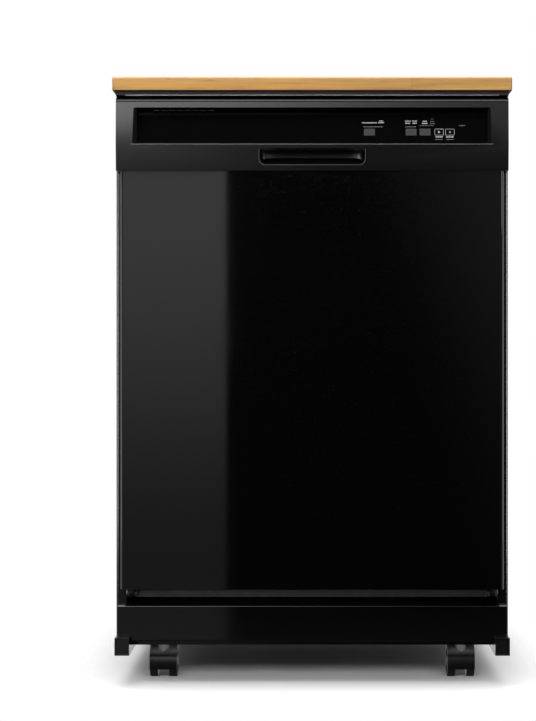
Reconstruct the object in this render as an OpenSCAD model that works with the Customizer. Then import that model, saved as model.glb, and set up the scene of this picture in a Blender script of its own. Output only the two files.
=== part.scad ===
// Portable dishwasher on casters with a wooden worktop.
// +Z is up, the door faces -Y, and the origin is on the floor under the middle of the worktop.

/* [Worktop] */
// Height of the top surface above the floor
overall_h = 939.8; // [900:0.1:980]
// Width of the worktop
worktop_w = 612.8; // [612:0.1:640]
// Depth of the worktop
worktop_d = 698.5; // [698:0.1:720]
// Thickness of the worktop
worktop_t = 21; // [19:0.5:27]
// Radius of the eased top edge
worktop_top_r = 3; // [1:0.5:6]
// Radius of the eased lower edge
worktop_low_r = 2; // [1:0.5:4]
// Radius of the corners in plan
worktop_corner_r = 4; // [2:0.5:10]
// Thickness of the two steel straps under the worktop
strap_t = 2.3; // [1.5:0.1:3]
// Width of a strap
strap_w = 24; // [16:1:36]
// Distance of a strap's centre line from the middle
strap_x = 263; // [240:1:272]
// How far a strap stops short of the worktop's front edge
strap_inset = 9; // [6:1:20]

/* [Cabinet] */
// Width over the two side panels
cabinet_w = 609.6; // [606:0.1:612]
// Distance of the side panels' front hem from the middle
cabinet_front = 299; // [298.5:0.1:300]
// Distance of the cabinet's back from the middle
cabinet_back = 314; // [311:1:320]
// Thickness of the cabinet's painted steel sheet
sheet_t = 1; // [0.8:0.1:1.4]
// Depth of the folded edges of a side panel
hem_w = 16; // [12:1:20]
// Outer radius of the front fold
hem_r = 4; // [2:0.5:6]
// Height of the top rails
top_rail_h = 19; // [12:0.5:19]
// Depth of the top rails
top_rail_d = 34; // [24:1:44]

/* [Base] */
// Height of the underside of the base rails above the floor
rail_z = 50.7; // [50.7:0.1:56]
// Height of a base rail
rail_h = 27.3; // [22:0.1:27.3]
// Width of a base rail
rail_w = 22.5; // [18:0.5:24]
// Wall of the base frame
base_wall = 2; // [1.5:0.1:3]
// Distance of the rails' front ends from the middle
rail_front = 327; // [310:1:340]
// Height of the underside of the caster channels above the floor
channel_z = 55.8; // [55.8:0.1:60]
// Depth of a caster channel
channel_d = 50; // [40:1:60]
// Height of the front strip's lower edge
strip_z = 128; // [122:0.5:132]
// Height of the front strip
strip_h = 18.5; // [14:0.5:20]
// Distance of the front strip's face from the middle
strip_y = 279; // [276:1:284]

/* [Access panel] */
// Half the width of the access panel
access_half = 302.5; // [296:0.5:303]
// Distance of the access panel's face from the middle
access_y = 306; // [303:0.5:307]
// Lower edge of the access panel
access_z0 = 70; // [66:1:80]
// Upper edge of its upright face
access_z1 = 125.6; // [118:0.1:126]
// Upper edge of its sloped ledge
ledge_z = 136; // [130:0.5:137]
// Thickness of the access panel's sheet
access_t = 1.2; // [1:0.1:1.6]

/* [Casters] */
// Diameter of a caster wheel
wheel_d = 50; // [44:1:50]
// Width of one wheel
wheel_w = 12.7; // [10:0.1:14]
// Gap between the two wheels of a caster
wheel_gap = 18; // [14:0.5:22]
// Distance of the swivel axes from the middle, sideways
caster_x = 237; // [220:1:238]
// Distance of the swivel axes from the middle, front and back
caster_y = 219; // [190:1:225]
// Trail of the wheel axle behind the swivel axis
caster_trail = 16; // [12:0.5:20]
// Thickness of the hood
hood_t = 2; // [1.5:0.1:2.2]
// Diameter of the swivel stem
stem_d = 11; // [9:0.5:13]

/* [Hinge] */
// Height of the door's hinge axis
hinge_z = 145; // [144.5:0.1:145.5]
// Distance of the hinge axis from the middle
hinge_y = 300; // [299.5:0.1:300.5]
// Diameter of the hinge pin
pin_d = 5; // [4:0.5:6]
// Outer radius of the hinge eyes
eye_r = 5; // [4.5:0.1:5.2]
// Inner end of the hinge from the middle
hinge_x0 = 272; // [271.5:0.1:272.5]
// Thickness of each bracket ear
ear_t = 4; // [3:0.1:4.2]
// Thickness of the door arm's eye
arm_t = 7; // [5:0.1:7.2]

/* [Door] */
// Width of the door's outer panel
door_w = 588.6; // [580:0.1:592]
// Distance of the panel's face from the middle
door_face_y = 341; // [338:0.1:342]
// Lower edge of the door panel
door_z0 = 154.5; // [154:0.1:158]
// Distance of the outer panel's back edge from the middle
door_back_y = 302.3; // [302.1:0.1:303]
// Thickness of the panel's sheet
door_sheet = 1; // [0.8:0.1:1.4]
// Radius of the panel's upright edges
door_edge_r = 5; // [3:0.5:8]
// Thickness of the inner liner
liner_t = 2.5; // [2:0.1:2.6]
// How far the liner's middle field stands into the tub
field_depth = 11.5; // [8:0.5:12]

/* [Console] */
// Width of the console
console_w = 602; // [594:0.5:604]
// Height of the console
console_h = 112.5; // [112.5:0.1:114]
// Gap between the console and the worktop
console_gap = 9.3; // [8:0.1:11]
// Wall of the console moulding
console_wall = 3; // [2.5:0.1:3.2]
// Radius of the console's top edge
console_top_r = 8; // [5:0.5:10]
// Distance of the crease from the middle
crease_y = 346.3; // [345.5:0.1:347.5]
// Half the width of the recess at the front
recess_half = 277.3; // [270:0.1:282]
// Height of the recess at the front
recess_h = 56.6; // [54:0.1:57]
// Radius of the recess's upper corners
recess_r = 7.6; // [5:0.1:10]
// Half the width of the fascia
fascia_half = 269; // [262:0.1:270]
// Tilt of the fascia
fascia_tilt = 13.5; // [10:0.1:15]
// Thickness of the fascia
fascia_t = 2.5; // [2:0.1:3]
// Half the width of the handle pocket
pocket_half = 81.6; // [70:0.1:90]
// Height of the handle pocket's mouth
pocket_h = 25.4; // [22:0.1:26]
// Radius of the pocket's lower corners
pocket_r = 9; // [6:0.5:11]
// Depth of the handle pocket
pocket_depth = 28; // [22:0.5:30]
// Width of a grey button
button_w = 16.6; // [14:0.1:18]
// Height of a grey button
button_h = 11; // [9:0.1:12]
// Travel of a button
button_travel = 0.8; // [0.5:0.1:1]

/* [Tub] */
// Inner width of the tub
tub_w = 536; // [534:1:536]
// Height of the tub floor
tub_floor = 160; // [160:0.5:161]
// Space between the tub's ceiling and the worktop
tub_headroom = 33.8; // [32.8:0.5:38.8]
// Distance of the tub's front flange from the middle
tub_front = 296; // [295.8:0.1:296.2]
// Distance of the tub's inner back wall from the middle
tub_back = 255; // [252:1:256]
// Wall of the tub
tub_wall = 3; // [2.5:0.1:3]
// Corner radius of the tub, inside
tub_r = 27; // [20:1:28]
// Half the width of the tub's front flange
flange_half = 287.5; // [286:0.1:288]
// Radius of the sump opening
sump_r = 105; // [98:1:108]
// Distance of the spray arms' axis in front of the middle
hub_y = 10; // [0:1:14]

/* [Racks] */
// Diameter of the rack's rim wires
rim_wire = 5; // [4.5:0.1:5.5]
// Diameter of the rack's other wires
thin_wire = 3.6; // [3.2:0.1:4]
// Half the width of the lower rack
lower_half = 238; // [230:1:240]
// Distance of the lower rack's front from the middle
lower_front = 268; // [260:1:268]
// Distance of the lower rack's back from the middle
lower_back = 234; // [225:1:235]
// Height of the lower rack's floor wires
lower_z = 205; // [204:0.5:207]
// Height of the lower rack's wall
lower_h = 118; // [100:1:120]
// Half the width of the upper rack
upper_half = 230; // [222:1:232]
// Distance of the upper rack's front from the middle
upper_front = 262; // [255:1:264]
// Distance of the upper rack's back from the middle
upper_back = 220; // [210:1:222]
// Height of the upper rack's floor wires
upper_z = 540; // [535:1:560]
// Height of the upper rack's wall
upper_h = 96; // [80:1:110]
// Pitch of the tines
tine_pitch = 42; // [38:1:50]
// Height of the tines
tine_h = 78; // [60:1:84]
// Diameter of a rack wheel
rack_wheel_d = 36; // [34:1:37]

/* [Hidden] */
$fn = 48;

arc_steps = 5;           // straight steps in a quarter round of a folded or moulded edge
seat_gap = 0.3;          // gap between pieces that seat on each other but move apart
fit_gap = 0.15;          // radial gap of a screw or pin in its hole
past = 1;                // how far a cut runs past the face that it opens

worktop_z = overall_h - worktop_t;
tub_ceiling = worktop_z - tub_headroom;
strap_z = worktop_z - strap_t;
cabinet_top = worktop_z - seat_gap;
cabinet_x = cabinet_w / 2;
rail_top = rail_z + rail_h;
console_top = worktop_z - console_gap;
console_z = console_top - console_h;
console_x = console_w / 2;
liner_y = door_back_y - seat_gap;
liner_back_y = liner_y - liner_t;
field_y = liner_back_y - field_depth;
tub_x = tub_w / 2;
tub_under = tub_floor - tub_wall;
hub = [0, -hub_y];

// ---------- outlines and helpers ----------

// Points of a round stretch from one angle to the other
function arc(cx, cy, r, a0, a1, n = arc_steps) =
    [for (i = [0 : n]) let (a = a0 + (a1 - a0) * i / n) [cx + r * cos(a), cy + r * sin(a)]];

// Outline of a rectangle whose upper corners have one radius and lower corners another
function soft_rect(x0, y0, x1, y1, top_r, low_r) = concat(
    arc(x1 - top_r, y1 - top_r, top_r, 0, 90), arc(x0 + top_r, y1 - top_r, top_r, 90, 180),
    arc(x0 + low_r, y0 + low_r, low_r, 180, 270), arc(x1 - low_r, y0 + low_r, low_r, 270, 360));

function round_rect(x0, y0, x1, y1, r) = soft_rect(x0, y0, x1, y1, r, r);

// Extrusions of an outline drawn in the plane across the named axis
module along_x(x0, x1) translate([x0, 0, 0]) rotate([90, 0, 90]) linear_extrude(x1 - x0) children();
module along_y(y0, y1) translate([0, y1, 0]) rotate([90, 0, 0]) linear_extrude(y1 - y0) children();
module along_z(z0, z1) translate([0, 0, z0]) linear_extrude(z1 - z0) children();

module block(x, y, z) translate([x[0], y[0], z[0]]) cube([x[1] - x[0], y[1] - y[0], z[1] - z[0]]);
module rod_x(x0, x1, y, z, r) translate([x0, y, z]) rotate([0, 90, 0]) cylinder(h = x1 - x0, r = r);
module rod_y(y0, y1, x, z, r) translate([x, y1, z]) rotate([90, 0, 0]) cylinder(h = y1 - y0, r = r);
module rod_z(z0, z1, x, y, r) translate([x, y, z0]) cylinder(h = z1 - z0, r = r);
module both_sides() {
    children();
    mirror([1, 0, 0]) children();
}

// ---------- worktop and cabinet ----------

strap_screw_y = [-worktop_d / 2 + strap_inset + 8, 0, cabinet_back - top_rail_d - 14];
strap_screw_r = 2;
screw_head_h = 1.8;
screw_head_r = 3.6;
pilot_depth = 12;

// Section of the worktop across its edges
function slab(half) = soft_rect(-half, worktop_z, half, overall_h, worktop_top_r, worktop_low_r);

module worktop() color([0.78, 0.62, 0.4]) difference() {
    intersection() {
        along_x(-worktop_w / 2, worktop_w / 2) polygon(slab(worktop_d / 2));
        along_y(-worktop_d / 2, worktop_d / 2) polygon(slab(worktop_w / 2));
        along_z(worktop_z - past, overall_h + past) polygon(round_rect(
            -worktop_w / 2, -worktop_d / 2, worktop_w / 2, worktop_d / 2, worktop_corner_r));
    }
    both_sides() for (y = strap_screw_y)
        rod_z(worktop_z - past, worktop_z + pilot_depth, strap_x, y, strap_screw_r + fit_gap);
}

// Section of the front top rail: a web behind the hems, a flange and a stiffening lip
rail_sheet = 1.5;
rail_lip = 8;
front_rail_y = -(cabinet_front - sheet_t);
back_rail_y = cabinet_back - 2 * sheet_t - seat_gap;
module top_rail_section() {
    y0 = front_rail_y;
    square_from(y0, strap_z - top_rail_h, y0 + rail_sheet, strap_z);
    square_from(y0, strap_z - rail_sheet, y0 + top_rail_d, strap_z);
    square_from(y0 + top_rail_d - rail_sheet, strap_z - rail_lip, y0 + top_rail_d, strap_z);
}
module square_from(x0, y0, x1, y1) translate([x0, y0]) square([x1 - x0, y1 - y0]);

// Two rails and the straps on them, welded and cleared for the screws that hold the worktop
module top_rails() color([0.13, 0.13, 0.14]) difference() {
    half = cabinet_x - hem_r - seat_gap;
    weld_x = strap_w / 2 - 1;
    union() {
        along_x(-half, half) top_rail_section();
        translate([0, back_rail_y + front_rail_y, 0]) mirror([0, 1, 0])
            along_x(-half, half) top_rail_section();
        both_sides() {
            block([strap_x - strap_w / 2, strap_x + strap_w / 2],
                [-worktop_d / 2 + strap_inset, back_rail_y], [strap_z, worktop_z]);
            for (y = [front_rail_y, back_rail_y - top_rail_d])
                block([strap_x - weld_x, strap_x + weld_x], [y + 1, y + top_rail_d - 1],
                    [strap_z - rail_sheet / 2, strap_z + strap_t / 2]);
        }
    }
    both_sides() for (y = strap_screw_y) {
        rod_z(strap_z - past, worktop_z + past, strap_x, y, strap_screw_r + fit_gap);
        rod_z(strap_z - top_rail_h - past, strap_z, strap_x, y, screw_head_r + seat_gap);
    }
}

// Plan section of a side panel: a wall with a rounded front hem and a back flange
module side_panel_section() difference() {
    x0 = cabinet_x - 2 * hem_w;
    polygon(round_rect(x0, -cabinet_front, cabinet_x, cabinet_back, hem_r));
    polygon(round_rect(x0 + sheet_t, -cabinet_front + sheet_t,
        cabinet_x - sheet_t, cabinet_back - sheet_t, hem_r - sheet_t));
    square_from(x0 - past, -cabinet_front - past, cabinet_x - hem_w, cabinet_back + past);
}

back_top = strap_z - top_rail_h - 2;
back_screw_pitch = 270;
back_screw_low = rail_top + 32;
back_screw_high = back_top - 15.5;
back_screw_z = concat([for (z = [back_screw_low : back_screw_pitch : back_screw_high - 100]) z],
    [back_screw_high]);
back_screw_x = cabinet_x - hem_w / 2;
back_screw_r = 1.8;

module side_panel() difference() {
    along_z(rail_top, cabinet_top) side_panel_section();
    for (z = back_screw_z)
        rod_y(cabinet_back - 2 * sheet_t, cabinet_back + past, back_screw_x, z, back_screw_r + fit_gap);
}
module left_side_panel() color([0.08, 0.08, 0.09]) mirror([1, 0, 0]) side_panel();
module right_side_panel() color([0.08, 0.08, 0.09]) side_panel();

// Storage well for the hoses, seen from the back
well_x = [-90, 210];
well_z = [150, 400];
well_wall = 2;
well_depth = 48;
well_r = 14;
well_lip = 10;
back_rib_z = [well_z[1] + 80, back_top - 175.5];
back_rib_h = 22;
back_rib_t = 5;
back_rib_inset = 60;

function well_outline(grow) = round_rect(well_x[0] - grow, well_z[0] - grow,
    well_x[1] + grow, well_z[1] + grow, well_r + grow);

module back_panel() color([0.2, 0.2, 0.21]) {
    y1 = cabinet_back - sheet_t;
    half = cabinet_x - hem_r - seat_gap;
    difference() {
        union() {
            block([-half, half], [y1 - sheet_t, y1], [rail_top, back_top]);
            for (z = back_rib_z)
                block([-half + back_rib_inset, half - back_rib_inset], [y1 - back_rib_t, y1 - sheet_t],
                    [z, z + back_rib_h]);
        }
        along_y(y1 - sheet_t - past, y1 + past) polygon(well_outline(0));
        both_sides() for (z = back_screw_z)
            rod_y(y1 - 2 * sheet_t, y1 + past, back_screw_x, z, back_screw_r + fit_gap);
    }
}

drain_fitting = [160, 230];
fill_fitting = [100, 230];
cord_gland = [-40, 230];
fitting_r = 11;
gland_r = 8;

module hose_well() color([0.16, 0.16, 0.17]) {
    y1 = cabinet_back - 2 * sheet_t;
    difference() {
        union() {
            along_y(y1 - well_wall, y1) polygon(well_outline(well_lip));
            along_y(y1 - well_depth, y1) polygon(well_outline(0));
        }
        along_y(y1 - well_depth + well_wall, y1 + past) polygon(well_outline(-well_wall));
        for (p = [drain_fitting, fill_fitting])
            rod_y(y1 - well_depth - past, y1 - well_depth + 2 * well_wall, p[0], p[1], fitting_r + fit_gap);
        rod_y(y1 - well_depth - past, y1 - well_depth + 2 * well_wall,
            cord_gland[0], cord_gland[1], gland_r + fit_gap);
    }
}

// Two hose spigots and the cord's gland, each with a collar that seats in the well's floor
module spigot(p, r, bore, reach) difference() {
    y0 = cabinet_back - 2 * sheet_t - well_depth;
    union() {
        rod_y(y0 - 2.2, y0 + reach, p[0], p[1], r);
        rod_y(y0 + well_wall, y0 + well_wall + 3, p[0], p[1], r + 4);
    }
    rod_y(y0 - 2 - past, y0 + reach + past, p[0], p[1], bore);
}
module hose_fittings() color([0.35, 0.35, 0.37]) {
    spigot(drain_fitting, fitting_r, 8, 24);
    spigot(fill_fitting, fitting_r, 6, 24);
    spigot(cord_gland, gland_r, 4.5, 8);
}

// ---------- base ----------

rail_x0 = cabinet_x - rail_w;
socket_r = 10;
socket_h = 36;
end_plate = 3;
end_inset = 1.5;

module base_rail() difference() {
    block([rail_x0, cabinet_x], [-rail_front, cabinet_back - 2], [rail_z, rail_top]);
    block([rail_x0 + base_wall, cabinet_x - base_wall],
        [-rail_front + end_inset + end_plate, cabinet_back - 2 - end_inset - end_plate],
        [rail_z + base_wall, rail_top - base_wall]);
    block([rail_x0 + base_wall, cabinet_x - base_wall],
        [-rail_front - past, -rail_front + end_inset], [rail_z + base_wall, rail_top - base_wall]);
}
module caster_channel() {
    half = rail_x0 + base_wall / 2;
    difference() {
        block([-half, half], [-channel_d / 2, channel_d / 2], [channel_z, rail_top]);
        block([-half - past, half + past], [-channel_d / 2 + base_wall, channel_d / 2 - base_wall],
            [channel_z - past, rail_top - base_wall]);
    }
}
module base_frame() color([0.1, 0.1, 0.11]) difference() {
    union() {
        both_sides() base_rail();
        for (y = [-caster_y, caster_y]) {
            translate([0, y, 0]) caster_channel();
            both_sides() rod_z(channel_z, channel_z + socket_h, caster_x, y, socket_r);
        }
    }
    for (y = [-caster_y, caster_y]) both_sides()
        rod_z(channel_z - past, channel_z + socket_h - base_wall, caster_x, y, stem_d / 2 + seat_gap);
}

// Section of the access panel: a return, an upright face, a rounded edge and a sloped ledge
access_edge_r = 2;
access_return = 15;
ledge_back = strip_y + 0.3;
ledge_angle = atan2(ledge_z - access_z1, access_y - ledge_back);

function access_line(inset) = concat(
    [[-access_y + access_return, access_z0 + inset]],
    arc(-access_y + access_edge_r, access_z0 + access_edge_r, access_edge_r - inset, 270, 180),
    arc(-access_y + access_edge_r, access_z1 - access_edge_r, access_edge_r - inset,
        180, 90 + ledge_angle),
    [[-ledge_back, ledge_z - inset / cos(ledge_angle)]]);

module access_panel() color([0.1, 0.1, 0.11]) {
    outer = access_line(0);
    inner = access_line(access_t);
    difference() {
        intersection() {
            along_x(-access_half, access_half)
                polygon(concat(outer, [for (i = [len(inner) - 1 : -1 : 0]) inner[i]]));
            along_y(-access_y - past, -ledge_back + 3) polygon(access_front());
        }
        both_sides() block([cabinet_x - hem_w - seat_gap, cabinet_x],
            [-cabinet_front - seat_gap, -ledge_back + 3], [access_z1, ledge_z + past]);
    }
}
// Front outline of the access panel, slanted at the top and notched over the base rails
corner_cut = 2.5;
function access_front() = let (notch = rail_x0 - 0.5, foot = rail_top + seat_gap) [
    [-notch, access_z0 - past], [notch, access_z0 - past], [notch, foot], [access_half, foot],
    [access_half, access_z1 - 1], [access_half - corner_cut, ledge_z + past],
    [-access_half + corner_cut, ledge_z + past], [-access_half, access_z1 - 1],
    [-access_half, foot], [-notch, foot]];

// Front legs with the hinge ears, the strip between them, and the back legs
leg_t = 4;
leg_front = strip_y - 1;
leg_back = 232;
foot_t = 2.5;
arm_x0 = hinge_x0 + ear_t + 0.5;
arm_x1 = arm_x0 + arm_t;
ear_x1 = arm_x1 + 0.5;
pin_head = 0.6;
back_leg_y = [200, 240];
nose_top = tub_floor - 10.3;
nose_low = hinge_z - eye_r;
spring_x = 290;
spring_z = rail_top + 14.5;
spring_back = 10;
spring_r = 8;
spring_hook_r = 1.5;

module ear_section() difference() {
    union() {
        translate([-hinge_y, hinge_z]) circle(eye_r);
        polygon([[-hinge_y, nose_low], [-leg_front, nose_low], [-leg_front, nose_top],
            [-hinge_y, nose_top]]);
    }
    translate([-hinge_y, hinge_z]) circle(pin_d / 2 + fit_gap);
}
module front_leg() {
    along_x(hinge_x0, hinge_x0 + ear_t) ear_section();
    along_x(ear_x1, ear_x1 + ear_t) ear_section();
    block([hinge_x0, hinge_x0 + leg_t], [-leg_front, -leg_back], [rail_top, tub_under]);
    block([hinge_x0, ear_x1 + ear_t], [-leg_front, -leg_front + leg_t], [nose_low, nose_top]);
    block([hinge_x0, cabinet_x - 5], [-leg_front, -leg_back], [rail_top, rail_top + foot_t]);
    block([spring_x - 4, spring_x + 4], [-leg_back - 4, -leg_back], [rail_top, spring_z + 8]);
    block([spring_x - 4, spring_x + 4], [spring_back + seat_gap, spring_back + 4],
        [rail_top, spring_z + 8]);
}
module back_leg() {
    block([hinge_x0, hinge_x0 + leg_t - 1.5], back_leg_y, [rail_top, tub_under]);
    block([hinge_x0, cabinet_x - 5], back_leg_y, [rail_top, rail_top + foot_t]);
    block([hinge_x0 - 20, hinge_x0 + 1], back_leg_y, [tub_under - foot_t, tub_under]);
}
module frame_legs() color([0.42, 0.43, 0.45]) {
    both_sides() {
        front_leg();
        back_leg();
        rod_x(hinge_x0 - pin_head, ear_x1 + ear_t + pin_head, -hinge_y, hinge_z, pin_d / 2);
    }
    difference() {
        block([-hinge_x0 + seat_gap, hinge_x0 - seat_gap], [-strip_y, -strip_y + 28],
            [strip_z, strip_z + strip_h]);
        block([-hinge_x0, hinge_x0], [-strip_y + rail_sheet, -strip_y + 28 + past],
            [strip_z + rail_sheet, strip_z + strip_h - rail_sheet]);
    }
}

// ---------- casters ----------

wheel_r = wheel_d / 2;
caster_half = wheel_gap / 2 + wheel_w;
hood_r = wheel_r + 0.9;
axle_r = 3;
stem_top = channel_z + socket_h - base_wall - 2;
hood_low = 14;

// Hood of a caster whose swivel axis is at the origin and whose axle lies behind it
module caster_housing() difference() {
    union() {
        translate([0, caster_trail, wheel_r]) rotate([0, 90, 0])
            cylinder(h = 2 * caster_half, r = hood_r + hood_t, center = true);
        rod_z(wheel_r + hood_r - 4, channel_z - seat_gap, 0, 0, stem_d / 2 + 3);
        rod_z(wheel_r, stem_top, 0, 0, stem_d / 2);
    }
    for (s = [0, 1]) mirror([s, 0, 0])
        rod_x(wheel_gap / 2 - 0.6, caster_half + past, caster_trail, wheel_r, hood_r);
    block([-caster_half - past, caster_half + past], [-wheel_d, 2 * wheel_d], [-wheel_r, hood_low]);
    block([-caster_half - past, caster_half + past], [caster_trail + 8, 2 * wheel_d],
        [-wheel_r, wheel_r + 12]);
    rod_x(-caster_half, caster_half, caster_trail, wheel_r, axle_r + fit_gap);
}
module caster_wheels() difference() {
    union() {
        both_sides() rod_x(wheel_gap / 2, caster_half, caster_trail, wheel_r, wheel_r);
        rod_x(-wheel_gap / 2 - past, wheel_gap / 2 + past, caster_trail, wheel_r, axle_r);
    }
    both_sides() difference() {
        rod_x(caster_half - 4, caster_half + past, caster_trail, wheel_r, wheel_r - 5);
        rod_x(caster_half - 5, caster_half + 2 * past, caster_trail, wheel_r, axle_r + 5);
    }
}
module front_left_caster() color([0.12, 0.12, 0.13]) translate([-caster_x, -caster_y, 0]) caster_housing();
module front_right_caster() color([0.12, 0.12, 0.13]) translate([caster_x, -caster_y, 0]) caster_housing();
module rear_left_caster() color([0.12, 0.12, 0.13]) translate([-caster_x, caster_y, 0]) caster_housing();
module rear_right_caster() color([0.12, 0.12, 0.13]) translate([caster_x, caster_y, 0]) caster_housing();
module front_left_wheels() color([0.2, 0.2, 0.2]) translate([-caster_x, -caster_y, 0]) caster_wheels();
module front_right_wheels() color([0.2, 0.2, 0.2]) translate([caster_x, -caster_y, 0]) caster_wheels();
module rear_left_wheels() color([0.2, 0.2, 0.2]) translate([-caster_x, caster_y, 0]) caster_wheels();
module rear_right_wheels() color([0.2, 0.2, 0.2]) translate([caster_x, caster_y, 0]) caster_wheels();

// ---------- tub and what it carries ----------

flange_t = 3;
flange_z0 = tub_under - 6.5;
flange_z1 = tub_ceiling + 10.5;
track_x = [tub_x - 24, tub_x - 2];
track_h = 6;
track_z = tub_floor + track_h;
float_xy = [205, -225];
feed_w = 32;
feed_d = 16;
feed_y = tub_back - feed_d - seat_gap;
heater_r = 186;
heater_z = 170;
heater_wire = 4;
heater_open = 8;
heater_leg_x = -heater_r * cos(heater_open);
heater_leg_y = [for (s = [-1, 1]) hub[1] + s * heater_r * sin(heater_open)];

function tub_outline(grow) = round_rect(-tub_x - grow, tub_floor - grow,
    tub_x + grow, tub_ceiling + grow, tub_r + grow);

module tub() color([0.62, 0.63, 0.64]) difference() {
    union() {
        along_y(-tub_front + flange_t - past, tub_back + tub_wall) polygon(tub_outline(tub_wall));
        along_y(-tub_front, -tub_front + flange_t)
            polygon(round_rect(-flange_half, flange_z0, flange_half, flange_z1, 8));
    }
    difference() {
        along_y(-tub_front - past, tub_back) polygon(tub_outline(0));
        both_sides() block(track_x, [-tub_front + flange_t, tub_back + past], [tub_floor - past, track_z]);
    }
    rod_z(tub_under - past, tub_floor + past, hub[0], hub[1], sump_r);
    rod_z(tub_under - past, tub_floor + past, float_xy[0], float_xy[1], 5);
    for (y = heater_leg_y)
        rod_z(tub_under - past, tub_floor + past, heater_leg_x, y, heater_wire + 1.5);
    block([-feed_w / 2 + 6, feed_w / 2 - 6], [feed_y, tub_back - 4], [tub_under - past, tub_floor + past]);
}

gasket_w = 8;
module door_gasket() color([0.14, 0.14, 0.15]) difference() {
    along_y(-liner_back_y + seat_gap, -tub_front) polygon(tub_outline(gasket_w));
    along_y(-liner_back_y, -tub_front + past) polygon(tub_outline(0.5));
    block([-tub_x - 20, tub_x + 20], [-tub_front - 10, -tub_front + 5], [tub_floor - 20, tub_floor + 8]);
}

sump_wall = 3;
sump_deep = 96;
pipe_z = 142;
pump_z = 114;
outlet_x = 102;
outlet_side = 10;
wash_outlet_r = 14;
drain_outlet_r = 10;
ledge_in = 6;
hub_post_r = 12;
post_top = tub_floor + 17;

// Bowl of the sump with the ledge that the filter rests on and the post of the lower spray arm
module sump() color([0.3, 0.3, 0.32]) translate([hub[0], hub[1], 0]) difference() {
    union() {
        rod_y(sump_r - 10, sump_r + 12.7, 0, pipe_z, 10);
        rod_x(-outlet_x, -outlet_x + 32, outlet_side, pump_z, wash_outlet_r);
        rod_x(outlet_x - 32, outlet_x, -outlet_side, pump_z, drain_outlet_r);
        rotate_extrude() polygon([
            [0, sump_deep], [70, sump_deep], [sump_r - 12, 132], [sump_r + 12, tub_under - 3],
            [sump_r + 12, tub_under], [sump_r - ledge_in, tub_under], [sump_r - ledge_in, tub_under - 3],
            [sump_r - 20, 134], [68, sump_deep + sump_wall], [0, sump_deep + sump_wall]]);
        rod_z(sump_deep, post_top, 0, 0, hub_post_r);
    }
    rod_z(sump_deep + sump_wall, post_top + past, 0, 0, hub_post_r - 3);
    rod_y(sump_r - 20, sump_r + 14, 0, pipe_z, 6);
    rod_x(-outlet_x - past, -outlet_x + 40, outlet_side, pump_z, wash_outlet_r - 4);
    rod_x(outlet_x - 40, outlet_x + past, -outlet_side, pump_z, drain_outlet_r - 3);
}

cup_xy = [42, 18];
cup_r = 24;
module filter_plate() color([0.55, 0.57, 0.6]) translate([hub[0], hub[1], 0]) difference() {
    rod_z(tub_under, tub_under + 2, 0, 0, sump_r - 1);
    rod_z(tub_under - past, tub_under + 2 + past, 0, 0, hub_post_r + 0.6);
    rod_z(tub_under - past, tub_under + 2 + past, cup_xy[0], cup_xy[1], cup_r + seat_gap);
    for (a = [0 : 20 : 340], r = [32, 48, 64, 80])
        if (norm([r * cos(a) - cup_xy[0], r * sin(a) - cup_xy[1]]) > cup_r + 8)
            rod_z(tub_under - past, tub_under + 2 + past, r * cos(a), r * sin(a), 3);
}
module filter_cup() color([0.5, 0.5, 0.52])
    translate([hub[0] + cup_xy[0], hub[1] + cup_xy[1], 0]) {
        z1 = tub_under + 2;
        difference() {
            union() {
                rod_z(z1 - 40, z1, 0, 0, cup_r);
                rod_z(z1 + seat_gap, z1 + 2, 0, 0, cup_r + 4);
                rod_z(z1 - 1, z1 + 1, 0, 0, cup_r);
            }
            rod_z(z1 - 38, z1 + 2 + past, 0, 0, cup_r - 2);
        }
        block([-cup_r + 1, cup_r - 1], [-2, 2], [z1 - 4, z1 + 9]);
    }

// Ring of the heater with its two legs through the floor
module heating_element() color([0.4, 0.38, 0.36]) {
    lead = 14;
    translate([0, hub[1], heater_z]) rotate([0, 0, 180 + heater_open])
        rotate_extrude(angle = 360 - 2 * heater_open, $fn = 96) translate([heater_r, 0]) circle(heater_wire);
    for (y = heater_leg_y) translate([heater_leg_x, y, 0]) {
        rod_z(tub_under - lead, heater_z + heater_wire + 0.5, 0, 0, heater_wire + 0.5);
        difference() {
            rod_z(tub_under - 8, tub_under - seat_gap, 0, 0, 11);
            rod_z(tub_under - 9, tub_under, 0, 0, heater_wire);
        }
    }
}

feed_top = upper_z + 20;
dock_z = upper_z - 17;
dock_r = 8;
module water_feed_tube() color([0.5, 0.51, 0.53]) difference() {
    union() {
        block([-feed_w / 2, feed_w / 2], [feed_y, tub_back - seat_gap], [tub_floor + 0.3, feed_top]);
        block([-feed_w / 2 + 7, feed_w / 2 - 7], [feed_y + 1, tub_back - 5], [pipe_z, tub_floor + 1]);
        rod_y(hub[1] + sump_r + 13, tub_back - 5, 0, pipe_z, 8);
        rod_y(upper_back + 6.3, feed_y + past, 0, dock_z, dock_r + 3);
    }
    rod_y(upper_back + 6, tub_back - 4, 0, dock_z, dock_r);
    block([-feed_w / 2 + 9, feed_w / 2 - 9], [feed_y + 3, tub_back - 7], [pipe_z + 3, feed_top - 3]);
}

float_lift = 6;
module float_cap() color([0.5, 0.51, 0.53]) translate([float_xy[0], float_xy[1], 0]) {
    difference() {
        union() {
            rod_z(tub_floor + seat_gap, tub_floor + 24, 0, 0, 20);
            rod_z(tub_floor + 24, tub_floor + 30, 0, 0, 14);
        }
        rod_z(tub_floor - past, tub_floor + 21, 0, 0, 17.5);
    }
    rod_z(tub_under - 14, tub_floor + 22, 0, 0, 4);
}

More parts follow.
